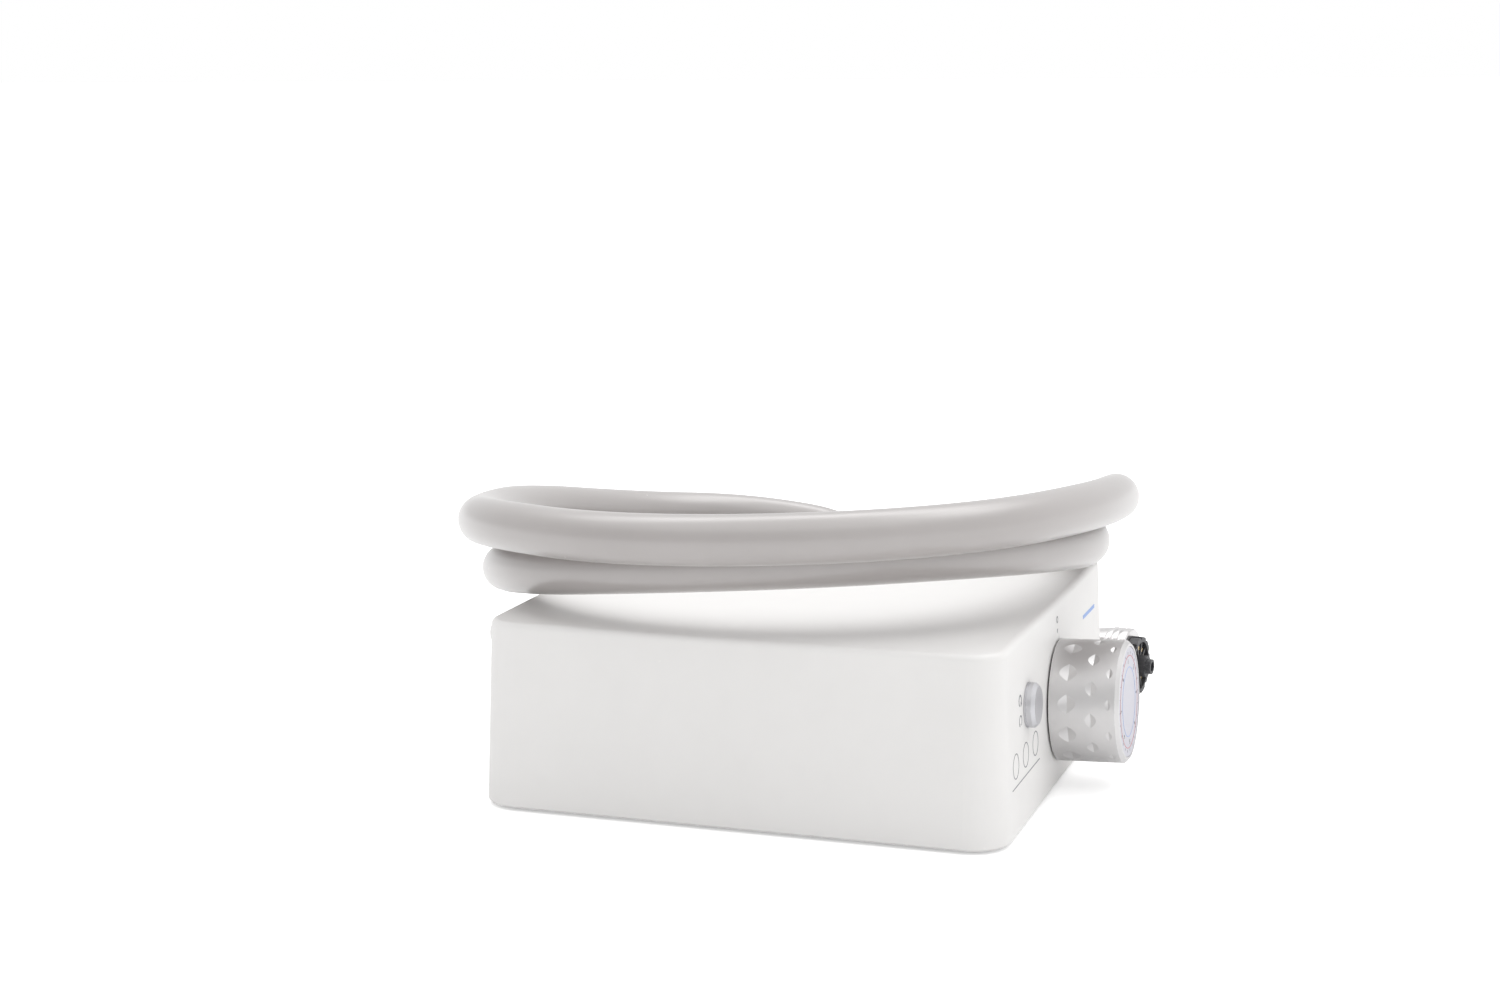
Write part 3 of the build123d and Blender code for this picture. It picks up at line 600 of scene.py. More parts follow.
EPOXY = Finish("black_epoxy", (0.025, 0.025, 0.026), (0.05, 0.05, 0.05), roughness=0.55, grain=5000.0,
               depth=1e-5, wear=0.3, worn=(0.1, 0.1, 0.1))
BOARD = Circuit("board_green", (0.02, 0.16, 0.07), (0.015, 0.11, 0.05), roughness=0.3, wear=0.5,
                worn=(0.45, 0.42, 0.28), coat=0.5, coat_roughness=0.12)
SLEEVE = Banded("capacitor_sleeve", (0.02, 0.03, 0.07), (0.03, 0.045, 0.09), roughness=0.3, wear=0.3,
                worn=(0.2, 0.2, 0.25))
HEADER = Finish("header_plastic", (0.75, 0.73, 0.66), (0.68, 0.65, 0.57), roughness=0.4, wear=0.2)
RELAY = Finish("relay_case", (0.03, 0.09, 0.22), (0.04, 0.11, 0.26), roughness=0.33, wear=0.3,
               worn=(0.15, 0.22, 0.38))
PANEL_GREY = Finish("panel_grey", (0.56, 0.56, 0.57), (0.49, 0.49, 0.50), roughness=0.5, grain=2200.0,
                    depth=1.6e-5, wear=0.4, worn=(0.7, 0.7, 0.7))
VALVE = Finish("valve_plastic", (0.62, 0.61, 0.57), (0.54, 0.53, 0.49), roughness=0.45, wear=0.3)
RED_INK = ink("red_ink", (0.52, 0.06, 0.08), (0.42, 0.05, 0.07))
BLUE_INK = ink("blue_ink", (0.22, 0.36, 0.72), (0.18, 0.31, 0.66))
GREY_INK = ink("grey_ink", (0.20, 0.20, 0.22), (0.15, 0.15, 0.17), 0.42)
WHITE_INK = ink("white_ink", (0.78, 0.78, 0.78), (0.70, 0.70, 0.70), 0.45)


# ---------------------------------------------------------------- mesh helpers
def link_up(name: str, data: bpy.types.ID) -> bpy.types.Object:
    """Return a new object with some data, linked into the scene."""
    made = bpy.data.objects.new(name, data)
    bpy.context.scene.collection.objects.link(made)
    return made


class Shape:
    """A mesh in the making, with the moves that the pieces share.

    Args:
        place: The plane that its flat outlines lie on, facing along its Z.
    """

    def __init__(self, place: Matrix = Matrix.Identity(4)) -> None:
        """Start an empty mesh."""
        self.mesh = bmesh.new()
        self.place = place

    def prism(self, outline: Sequence[Flat], low: float = -INK_SUNK, high: float = INK_THICK) -> None:
        """Add a flat outline raised between two heights.

        Args:
            outline: Its corners in order, counterclockwise.
            low: Height of the underside over the plane.
            high: Height of the top.
        """
        under = [self.mesh.verts.new(self.place @ Vector((x, y, low))) for x, y in outline]
        over = [self.mesh.verts.new(self.place @ Vector((x, y, high))) for x, y in outline]
        self.mesh.faces.new(over)
        self.mesh.faces.new(under[::-1])
        for k, corner in enumerate(under):
            after = (k + 1) % len(under)
            self.mesh.faces.new((corner, under[after], over[after], over[k]))

    def slab(self, left: float, right: float, half: float, low: float = -INK_SUNK,
             high: float = INK_THICK) -> None:
        """Add a straight bar along the plane's X, as wide on both sides of it.

        Args:
            left: Where it starts.
            right: Where it ends.
            half: Half its width.
            low: Height of the underside over the plane.
            high: Height of the top.
        """
        self.prism(((left, -half), (right, -half), (right, half), (left, half)), low, high)

    def band(self, inner: float, outer: float, centre: Flat = (0.0, 0.0), start: float = 0.0,
             sweep: float = 360.0, steps: int = 96, low: float = -INK_SUNK,
             high: float = INK_THICK) -> None:
        """Add a flat band round a centre, a full ring or an arc of one.

        Args:
            inner: Inner radius.
            outer: Outer radius.
            centre: The band's centre on the plane.
            start: Where the arc starts, in degrees.
            sweep: How far it goes, in degrees.
            steps: Straight pieces round it.
            low: Height of the underside over the plane.
            high: Height of the top.
        """
        full = sweep >= 360.0
        rows = []
        for k in range(steps if full else steps + 1):
            angle = math.radians(start + sweep * k / steps)
            across = Vector((math.cos(angle), math.sin(angle), 0.0))
            rows.append([
                self.mesh.verts.new(self.place @ (Vector((*centre, height)) + across * radius))
                for radius, height in ((inner, low), (outer, low), (outer, high), (inner, high))
            ])
        pairs = list(zip(rows, rows[1:] + rows[:1] if full else rows[1:]))
        for first, second in pairs:
            for k in range(4):
                after = (k + 1) % 4
                self.mesh.faces.new((first[k], second[k], second[after], first[after]))
        if not full:
            self.mesh.faces.new(rows[0][::-1])
            self.mesh.faces.new(rows[-1])

    def rings(self, middles: Sequence[Vector], ways: Sequence[Vector], radii: Sequence[float],
              steps: int = 64) -> None:
        """Add a skin of rings along a line, closed from its last ring back to its first.

        Args:
            middles: Each ring's centre.
            ways: The line's direction at each ring.
            radii: Each ring's radius.
            steps: Points in each ring.
        """
        rows = []
        for middle, way, radius in zip(middles, ways, radii):
            turn = way.to_track_quat("Z", "Y")
            rows.append([
                self.mesh.verts.new(
                    middle + turn @ Vector((radius * math.cos(a), radius * math.sin(a), 0.0))
                )
                for a in (2 * math.pi * k / steps for k in range(steps))
            ])
        for first, second in zip(rows, rows[1:] + rows[:1]):
            for k in range(steps):
                after = (k + 1) % steps
                self.mesh.faces.new((first[k], first[after], second[after], second[k]))

    def words(self, text: str, centre: Flat, size: float, turn: float, high: float) -> None:
        """Add generic numerals raised from the plane.

        Args:
            text: The numerals.
            centre: Their middle on the plane.
            size: Their height.
            turn: How far they are turned, in degrees.
            high: How far they rise.
        """
        curve = bpy.data.curves.new("numeral", "FONT")
        curve.body = text
        curve.size = size
        curve.align_x = "CENTER"
        curve.align_y = "CENTER"
        curve.extrude = high
        curve.resolution_u = 3
        carrier = link_up("numeral", curve)
        bpy.context.view_layer.update()
        flat = bpy.data.meshes.new_from_object(carrier)
        spin = Matrix.Translation((*centre, 0.0)) @ Matrix.Rotation(math.radians(turn), 4, "Z")
        flat.transform(self.place @ spin)
        self.mesh.from_mesh(flat)
        bpy.data.objects.remove(carrier)
        bpy.data.curves.remove(curve)
        bpy.data.meshes.remove(flat)

    def piece(self, name: str, smooth: float = 35.0) -> bpy.types.Object:
        """Finish the mesh as an object.

        Args:
            name: The piece's name.
            smooth: Edges that turn less than this many degrees look round.

        Returns:
            The linked object.
        """
        bmesh.ops.remove_doubles(self.mesh, verts=self.mesh.verts[:], dist=WELD)
        bmesh.ops.recalc_face_normals(self.mesh, faces=self.mesh.faces[:])
        data = bpy.data.meshes.new(name)
        self.mesh.to_mesh(data)
        self.mesh.free()
        data.shade_smooth()
        data.set_sharp_from_angle(angle=math.radians(smooth))
        return link_up(name, data)


def middle_of(node: str) -> Vector:
    """Return the middle of a CAD node's box."""
    low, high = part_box(node)
    return (low + high) / 2


def fit(piece: bpy.types.Object, finish: Finish, slot: str, body: Body, *stands_for: str) -> bpy.types.Object:
    """Dress a new piece and tie it to the frame.

    Args:
        piece: The piece.
        finish: Its finish.
        slot: The record's material slot; not used.
        body: The body it rides on.
        stands_for: CAD nodes that it replaces.

    Returns:
        The piece.
    """
    finish.coat_piece(piece)
    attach(piece, body.value)
    if stands_for:
        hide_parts(*stands_for)
    LOG.info("piece %s rides on %s", piece.name, body.value)
    return piece


# ---------------------------------------------------------------- studio
@dataclass
class Studio:
    """The camera, the lights and the pale floor.

    Attributes:
        camera_at: Where the camera stands.
        looks_at: The point it looks at.
        roll: Its turn about its own axis, in degrees.
        lens: Its focal length in millimetres.
        sensor: Its sensor's width in millimetres.
        clip: The nearest and the farthest distance that it sees.
        floor_half: Half the floor's side.
        floor_colour: The floor's colour.
        floor_glow: The light that the floor adds where the camera looks straight at it.
        sky: The colour of the room's light.
        sky_near: The light's strength from -X.
        sky_far: Its strength from +X.
        sky_run: The X of the directions between which it changes.
        sky_front: What it gains towards -Y.
        front_run: The Y of the directions between which it gains that.
        zenith: What it gains overhead.
        zenith_run: The Z of the directions between which it gains that.
        strip_turns: Where the overhead strips stand round the unit, in degrees from +X.
        strip_reach: How far out they stand for each metre up.
        strip_strength: The strength of each.
        strip_angle: How wide each looks, in degrees.
    """

    camera_at: Point = (-0.58852, -0.18360, 0.17604)
    looks_at: Point = (-0.00491, 0.01446, 0.06830)
    roll: float = -0.331
    lens: float = 59.456
    sensor: float = 36.0
    clip: Flat = (0.01, 200.0)
    floor_half: float = 30.0
    floor_colour: Colour = (0.95, 0.95, 0.95)
    floor_glow: float = 0.40
    sky: Colour = (1.0, 1.0, 1.0)
    sky_near: float = 0.66
    sky_far: float = 0.86
    sky_run: Flat = (-1.0, 0.6)
    sky_front: float = 0.20
    front_run: Flat = (0.1, -0.9)
    zenith: float = 0.60
    zenith_run: Flat = (0.55, 0.90)
    strip_turns: Sequence[float] = (-62.0, -32.0, -2.0, 28.0, 58.0)
    strip_reach: float = 0.62
    strip_strength: float = 0.14
    strip_angle: float = 26.0

    def camera(self) -> None:
        """Make the camera and set it as the scene's own."""
        data = bpy.data.cameras.new("studio_camera")
        data.lens = self.lens
        data.sensor_width = self.sensor
        data.clip_start, data.clip_end = self.clip
        made = link_up("studio_camera", data)
        away = (Vector(self.looks_at) - Vector(self.camera_at)).normalized()
        turn = away.to_track_quat("-Z", "Y") @ Quaternion((0, 0, 1), math.radians(self.roll))
        made.rotation_mode = "QUATERNION"
        made.location, made.rotation_quaternion = self.camera_at, turn
        bpy.context.scene.camera = made

    def sun(self, name: str, comes_from: Point, strength: float, angle: float) -> None:
        """Make one far, wide light that is as strong everywhere.

        Args:
            name: Its name.
            comes_from: The direction that it comes from.
            strength: Its strength in watts per square metre.
            angle: How wide it looks, in degrees.
        """
        data = bpy.data.lights.new(name, "SUN")
        data.energy = strength
        data.angle = math.radians(angle)
        made = link_up(name, data)
        made.rotation_mode = "QUATERNION"
        made.rotation_quaternion = Vector(comes_from).to_track_quat("Z", "Y")

    def surround(self) -> None:
        """Fill the room with white light that is weaker on the camera's side."""
        world = bpy.data.worlds.new("white_room")
        bpy.context.scene.world = world
        world.use_nodes = True
        world.node_tree.nodes.clear()
        graph = Graph(world.node_tree)
        way = graph.node("TexCoord").outputs["Generated"]
        split = graph.node("SeparateXYZ")
        graph.feed(split.inputs[0], way)
        across = graph.spread(split.outputs[0], *self.sky_run, self.sky_near, self.sky_far)
        above = graph.spread(split.outputs[2], *self.zenith_run, 0.0, self.zenith)
        front = graph.spread(split.outputs[1], *self.front_run, 0.0, self.sky_front)
        light = graph.add(across, above, front)
        rays = graph.node("LightPath")
        shown = graph.node("Background")
        graph.feed(shown.inputs["Color"], self.sky)
        lit = graph.node("Background")
        graph.feed(lit.inputs["Color"], self.sky)
        graph.feed(lit.inputs["Strength"], light)
        both = graph.node("MixShader")
        graph.feed(both.inputs[0], rays.outputs["Is Camera Ray"])
        graph.feed(both.inputs[1], lit.outputs[0])
        graph.feed(both.inputs[2], shown.outputs[0])
        out = graph.node("OutputWorld")
        graph.feed(out.inputs[0], both.outputs[0])

    def floor(self) -> None:
        """Lay the pale floor."""
        shape = Shape()
        shape.slab(-self.floor_half, self.floor_half, self.floor_half, -0.01, 0.0)
        made = shape.piece("floor")
        pale = bpy.data.materials.new("pale_floor")
        pale.use_nodes = True
        graph = Graph(pale.node_tree)
        shader = pale.node_tree.nodes["Principled BSDF"]
        shader.inputs["Base Color"].default_value = (*self.floor_colour, 1.0)
        shader.inputs["Roughness"].default_value = 0.9
        shader.inputs["Emission Color"].default_value = (1.0, 1.0, 1.0, 1.0)
        seen = graph.node("LightPath").outputs["Is Camera Ray"]
        graph.feed(shader.inputs["Emission Strength"], graph.times(seen, self.floor_glow))
        shader.inputs["Specular IOR Level"].default_value = 0.1
        made.data.materials.append(pale)

    def build(self) -> None:
        """Make the camera, floor, lights and white room."""
        self.camera()
        self.floor()
        self.surround()
        for k, turn in enumerate(self.strip_turns):
            away = math.radians(turn)
            x, y = self.strip_reach * math.cos(away), self.strip_reach * math.sin(away)
            self.sun(f"overhead_strip_{k + 1}", (x, y, 1.0), self.strip_strength, self.strip_angle)
        bpy.context.scene.view_settings.view_transform = "Standard"
        LOG.info("studio ready")


# ---------------------------------------------------------------- hose
HOSE_ROUTE: tuple[Point, ...] = (
    (0.0435, 0.059, 0.018), (0.0435, 0.0943, 0.018), (0.0682, 0.1184, 0.0105), (0.1065, 0.1186, 0.0063),
    (0.132, 0.093, 0.0063), (0.1315, 0.056, 0.0063), (0.107, 0.027, 0.007), (0.086, 0.001, 0.021),
    (0.082, -0.0275, 0.0405), (0.0675, -0.0495, 0.0539), (0.037, -0.066, 0.0543), (0.0025, -0.0625, 0.059),
    (-0.0292, -0.047, 0.0625), (-0.0505, -0.015, 0.0625), (-0.055, 0.0245, 0.0598), (-0.041, 0.061, 0.0543),
    (-0.007, 0.084, 0.0478), (0.033, 0.0845, 0.0385), (0.069, 0.068, 0.034), (0.091, 0.034, 0.0355),
    (0.098, -0.0085, 0.044), (0.0895, -0.052, 0.0537), (0.05, -0.071, 0.0654), (0.001, -0.0715, 0.07),
    (-0.0385, -0.0545, 0.071), (-0.0635, -0.0185, 0.0705), (-0.069, 0.0275, 0.069), (-0.0475, 0.0678, 0.067),
    (-0.009, 0.088, 0.0608), (0.0355, 0.0962, 0.0562), (0.0825, 0.0802, 0.047), (0.1103, 0.053, 0.043),
    (0.1132, 0.0176, 0.038), (0.0935, -0.0111, 0.0103), (0.0891, -0.0451, 0.0103),
)


@dataclass
class Hose:
    """The motor's hose and the boot where it leaves the unit; the connector on its far end is dressed by
    Connector.

    Attributes:
        route: The control points of its middle line, from the unit to the connector.
        diameter: Its thickness.
        length: Its length from end to end; not used.
        run_steps: Steps from one control point to the next.
        round_steps: Steps round it.
        boot_length: The boot's length along it.
        boot_wide: The boot's radius at the unit.
        boot_narrow: Its radius at its free end.
        boot_ribs: Ribs along it.
        boot_rings: Rings of points along it.
        boot_groove: Depth of the grooves between the ribs.
        boot_ribbed: The share of the boot between which it has ribs.
        boot_grip: How far the boot's bore sits inside the hose's skin.
        with_it: The CAD nodes on its far end; not used.
    """

    route: tuple[Point, ...] = HOSE_ROUTE
    diameter: float = 0.012
    length: float = 1.33
    run_steps: int = 14
    round_steps: int = 12
    boot_length: float = 0.018
    boot_wide: float = 0.0080
    boot_narrow: float = 0.0068
    boot_ribs: int = 6
    boot_rings: int = 90
    boot_groove: float = 0.0007
    boot_ribbed: Flat = (0.06, 0.96)
    boot_grip: float = 0.0001
    with_it: Sequence[str] = ("connector_body", "coupling_nut", "connector_seal", "connector_insert",
                              "contact_pins")

    def curve(self, name: str, bevel: float) -> bpy.types.Object:
        """Make the route's smooth curve.

        Args:
            name: The object's name.
            bevel: Its radius, or 0 for the bare line.

        Returns:
            The curve object.
        """
        data = bpy.data.curves.new(name, "CURVE")
        data.dimensions = "3D"
        data.resolution_u = self.run_steps
        spline = data.splines.new("NURBS")
        spline.points.add(len(self.route) - 1)
        for point, place in zip(spline.points, self.route):
            point.co = (*place, 1.0)
        spline.order_u = 3
        spline.use_endpoint_u = True
        data.bevel_depth = bevel
        data.bevel_resolution = self.round_steps
        return link_up(name, data)

    def line(self) -> list[Vector]:
        """Return the points of the route's smooth curve."""
        bare = self.curve("bare_line", 0.0)
        bpy.context.view_layer.update()
        mesh = bpy.data.meshes.new_from_object(bare)
        points = [vertex.co.copy() for vertex in mesh.vertices]
        bpy.data.objects.remove(bare)
        bpy.data.meshes.remove(mesh)
        return points

    def boot(self) -> bpy.types.Object:
        """Make the ribbed boot that follows the hose's first stretch."""
        points = self.line()
        reach, gone = [points[0]], 0.0
        for before, after in zip(points, points[1:]):
            gone += (after - before).length
            if gone > self.boot_length:
                break
            reach.append(after)
        middles, ways, radii = [], [], []
        total = sum((b - a).length for a, b in zip(reach, reach[1:]))
        first, last = self.boot_ribbed
        for k in range(self.boot_rings + 1):
            share = k / self.boot_rings
            place, way = self.at(points, share * total)
            middles.append(place)
            ways.append(way)
            taper = self.boot_wide + (self.boot_narrow - self.boot_wide) * share
            wave = math.cos(2 * math.pi * self.boot_ribs * share)
            groove = self.boot_groove * math.sqrt(max(0.0, wave)) if first < share < last else 0.0
            radii.append(taper - groove)
        middles += [middles[-1], middles[0]]
        ways += [ways[-1], ways[0]]
        radii += [self.diameter / 2 - self.boot_grip] * 2
        shape = Shape()
        shape.rings(middles, ways, radii)
        return shape.piece("relief_boot", 40.0)

    def at(self, points: Sequence[Vector], distance: float) -> tuple[Vector, Vector]:
        """Return where a line of points is after a distance, and its direction there.

        Args:
            points: The line's points.
            distance: The distance along it.

        Returns:
            The place, and the direction with length 1.
        """
        for before, after in zip(points, points[1:]):
            run = (after - before).length
            if distance <= run:
                return before.lerp(after, distance / run), (after - before).normalized()
            distance -= run
        return points[-1], (points[-1] - points[-2]).normalized()

    def build(self) -> None:
        hose = self.curve("motor_hose", self.diameter / 2)
        fit(hose, SILICONE, "hose_silicone", Body.UNIT, "hose")
        boot = fit(self.boot(), RUBBER, "relief_rubber", Body.UNIT, "strain_relief")


# ---------------------------------------------------------------- control panel
SMALL_ROUND = 40  # straight pieces round a small printed ring
HEAD_HALF, HEAD_LONG = 1.5, 2.6  # an arrow head's half width and length, in widths of its band


@dataclass
class Panel:
    """The leaning front wall that the knob, the button and the printed marks sit on.

    Attributes:
        lower_y: Where the wall is at the lower rim.
        lower_z: The lower rim's height.
        lean: How far the wall leans in, in degrees.
    """

    lower_y: float = -0.065
    lower_z: float = 0.0008
    lean: float = 2.29

    def place(self, x: float, z: float, out: float = 0.0) -> Matrix:
        """Return the plane at a place on the panel, its Z pointing out of the panel.

        Args:
            x: Place along the panel.
            z: Height.
            out: How far the plane stands off the panel.

        Returns:
            The plane's matrix, with X along the panel and Y up it.
        """
        lean = math.radians(self.lean)
        normal = Vector((0.0, -math.cos(lean), math.sin(lean)))
        start = Vector((x, self.lower_y + math.tan(lean) * (z - self.lower_z), z)) + normal * out
        columns = (Vector((1.0, 0.0, 0.0)), Vector((0.0, math.sin(lean), math.cos(lean))), normal)
        turn = Matrix(columns).transposed().to_4x4()
        return Matrix.Translation(start) @ turn

    def axis(self, x: float, z: float) -> tuple[Point, Point]:
        """Return a point on the panel and the direction that the panel faces there."""
        place = self.place(x, z)
        return tuple(place.translation), tuple(place.col[2][:3])

    def face_of(self, node: str, x: float, z: float, radius: float) -> float:
        """Return how far a round node's flat front stands off the panel.

        Args:
            node: The CAD node.
            x: Its axis's place along the panel.
            z: Its axis's height on the panel.
            radius: The front face's radius.

        Returns:
            The distance in metres.
        """
        lean = math.radians(self.lean)
        start = self.place(x, z).translation.y
        return (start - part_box(node)[0].y - radius * math.sin(lean)) / math.cos(lean)


def arc_arrow(shape: Shape, radius: float, width: float, start: float, sweep: float) -> None:
    """Add a flat circular arrow round the middle of the shape's plane.

    Args:
        shape: The mesh it goes into.
        radius: Middle radius of its band.
        width: The band's width.
        start: Where it starts, in degrees.
        sweep: How far it goes; a negative sweep turns the arrow round.
    """
    low = min(start, start + sweep)
    shape.band(radius - width / 2, radius + width / 2, start=low, sweep=abs(sweep), steps=SMALL_ROUND)
    tip = math.radians(start + sweep)
    way = math.copysign(1.0, sweep)
    across = Vector((math.cos(tip), math.sin(tip)))
    along = Vector((-math.sin(tip), math.cos(tip))) * way
    middle, side = across * radius, across * width * HEAD_HALF
    corners = [middle + side, middle + along * width * HEAD_LONG, middle - side]
    shape.prism([tuple(corner) for corner in (corners if way > 0 else corners[::-1])])


@dataclass
class Housing:
    """The white case with its base, its feet and the marks printed on its panel.

    Attributes:
        panel: The panel that the marks are printed on.
        arrows_x: Where the two circular arrows stand along the panel.
        arrows_z: Their heights.
        arrow_radius: Their radius.
        arrow_widths: The widths of their bands.
        arrow_start: How far from straight up they start, in degrees.
        arrow_sweep: How far they go round, in degrees.
        pointer: Place and height of the dial's pointer.
        pointer_size: The pointer's side.
        mark: Place and height of the small ring over the pointer.
        mark_radii: The small ring's inner and outer radius.
        line: Start, end and height of the thin line.
        line_half: Half its width.
        circles: How far the outer circles over it stand from its middle, as a share of half its length.
        circle_up: How far the three circles stand over it.
        circle_radii: Their inner and outer radius.
        bar: Start, end and height of the blue bar.
        bar_half: Half its width.
    """

    panel: Panel
    arrows_x: float = -0.0420
    arrows_z: Flat = (0.0313, 0.0265)
    arrow_radius: float = 0.00125
    arrow_widths: Flat = (0.00042, 0.00028)
    arrow_start: float = 150.0
    arrow_sweep: float = 270.0
    pointer: Flat = (0.0010, 0.0384)
    pointer_size: float = 0.0011
    mark: Flat = (0.0010, 0.0413)
    mark_radii: Flat = (0.0006, 0.0009)
    line: Point = (-0.0520, -0.0230, 0.0125)
    line_half: float = 0.00012
    circles: float = 0.72
    circle_up: float = 0.0048
    circle_radii: Flat = (0.00278, 0.00300)
    bar: Point = (0.0330, 0.0480, 0.0350)
    bar_half: float = 0.0005

    def marks(self) -> bpy.types.Object:
        """Make the grey marks: two arrows, the dial's pointer and ring, and a line with three circles."""
        shape = Shape()
        for z, width, way in zip(self.arrows_z, self.arrow_widths, (-1.0, 1.0)):
            shape.place = self.panel.place(self.arrows_x, z)
            arc_arrow(shape, self.arrow_radius, width, 90.0 - way * self.arrow_start,
                      way * self.arrow_sweep)
        shape.place = self.panel.place(*self.pointer)
        half = self.pointer_size / 2
        shape.prism(((0.0, -half), (half, half), (-half, half)))
        shape.place = self.panel.place(*self.mark)
        shape.band(*self.mark_radii, steps=SMALL_ROUND)
        low, high, z = self.line
        shape.place = self.panel.place((low + high) / 2, z)
        reach = (high - low) / 2
        shape.slab(-reach, reach, self.line_half)
        for side in (-1.0, 0.0, 1.0):
            centre = (side * reach * self.circles, self.circle_up)
            shape.band(*self.circle_radii, centre, steps=72)
        return shape.piece("panel_marks")

    def blue_bar(self) -> bpy.types.Object:
        """Make the small blue bar at the panel's upper right."""
        low, high, z = self.bar
        shape = Shape(self.panel.place((low + high) / 2, z))
        reach = (high - low) / 2
        shape.slab(-reach, reach, self.bar_half)
        return shape.piece("panel_bar")

    def build(self) -> None:
        """Dress the case and print its panel."""
        WHITE_CASE.dress("housing")
        BASE_GREY.dress("base_plate")
        STEEL.dress("base_screws")
        RUBBER.dress("rubber_feet")
        fit(self.marks(), GREY_INK, "housing_white", Body.UNIT)
        fit(self.blue_bar(), BLUE_INK, "housing_white", Body.UNIT)


@dataclass
class SpeedKnob:
    """The dimpled knob with its printed dial, and the potentiometer behind it.

    Attributes:
        panel: The panel that it turns on.
        x: Its axis's place along the panel.
        z: Its axis's height on the panel.
        dial_radius: The dial's radius.
        red_ring: Inner and outer radius of the red ring.
        blue_ring: Inner and outer radius of the blue ring.
        ticks: Ticks round the dial.
        tick_run: Radii that each tick runs between.
        tick_width: Its width.
        numeral_radius: Radius that the numerals' middles stand on.
        numeral_size: Their height.
        numerals: How many there are.
    """

    panel: Panel
    x: float = 0.0009
    z: float = 0.0212
    dial_radius: float = 0.0136
    red_ring: Flat = (0.01132, 0.01146)
    blue_ring: Flat = (0.00850, 0.00862)
    ticks: int = 24
    tick_run: Flat = (0.01180, 0.01245)
    tick_width: float = 0.00012
    numeral_radius: float = 0.0100
    numeral_size: float = 0.0017
    numerals: int = 8

    def face(self) -> Matrix:
        """Return the plane of the dial's face."""
        out = self.panel.face_of("dial_plate", self.x, self.z, self.dial_radius)
        return self.panel.place(self.x, self.z, out)

    def ring(self, name: str, radii: Flat) -> bpy.types.Object:
        """Make one thin printed ring."""
        shape = Shape(self.face())
        shape.band(*radii, steps=128)
        return shape.piece(name)

    def scale(self) -> bpy.types.Object:
        """Make the ticks and the numerals round the dial."""
        shape = Shape(self.face())
        inner, outer = self.tick_run
        half = self.tick_width / 2
        for k in range(self.ticks):
            turn = Matrix.Rotation(2 * math.pi * k / self.ticks, 2)
            corners = ((inner, -half), (outer, -half), (outer, half), (inner, half))
            shape.prism([tuple(turn @ Vector(corner)) for corner in corners])
        for k in range(self.numerals):
            angle = math.radians(90.0 - 360.0 * k / self.numerals)
            centre = (self.numeral_radius * math.cos(angle), self.numeral_radius * math.sin(angle))
            shape.words(str(k + 1), centre, self.numeral_size, math.degrees(angle) - 90.0, INK_THICK)
        return shape.piece("dial_scale")

    def build(self) -> None:
        """Dress the knob and print its dial."""
        centre, axis = self.panel.axis(self.x, self.z)
        BLASTED.dress("speed_knob")
        Turned("dial_lavender", (0.60, 0.595, 0.65), (0.53, 0.525, 0.59), roughness=0.42, metallic=0.35,
               depth=3e-6, wear=0.3, worn=(0.8, 0.8, 0.84), specks=0.01, centre=centre, axis=axis,
               rings=9000.0, ring_depth=2e-6, ring_tone=0.3).dress("dial_plate")
        STEEL.dress("knob_grub_screw")
        RUBBER.dress("knob_seal_ring")
        NICKEL.dress("potentiometer_washer", "potentiometer_nut", "potentiometer", "potentiometer_shaft")
        fit(self.ring("dial_red_ring", self.red_ring), RED_INK, "dial_print", Body.KNOB)
        fit(self.ring("dial_blue_ring", self.blue_ring), BLUE_INK, "dial_print", Body.KNOB)
        fit(self.scale(), GREY_INK, "dial_print", Body.KNOB)


@dataclass
class DirectionButton:
    """The sprung button left of the knob, with the switch behind it.

    Attributes:
        panel: The panel that it sits in.
        x: Its axis's place along the panel.
        z: Its axis's height on the panel.
    """

    panel: Panel
    x: float = -0.0335
    z: float = 0.0283

    def build(self) -> None:
        """Dress the button, its spring and its switch."""
        centre, axis = self.panel.axis(self.x, self.z)
        Turned("button_aluminium", (0.64, 0.64, 0.66), (0.50, 0.50, 0.53), roughness=0.36, metallic=0.95,
               wear=0.7, worn=(0.85, 0.85, 0.87), specks=0.0, centre=centre, axis=axis, rings=7000.0,
               ring_depth=4e-6, ring_tone=0.4).dress("direction_button")
        STEEL.dress("button_spring")
        BLACK_PLASTIC.dress("direction_switch")


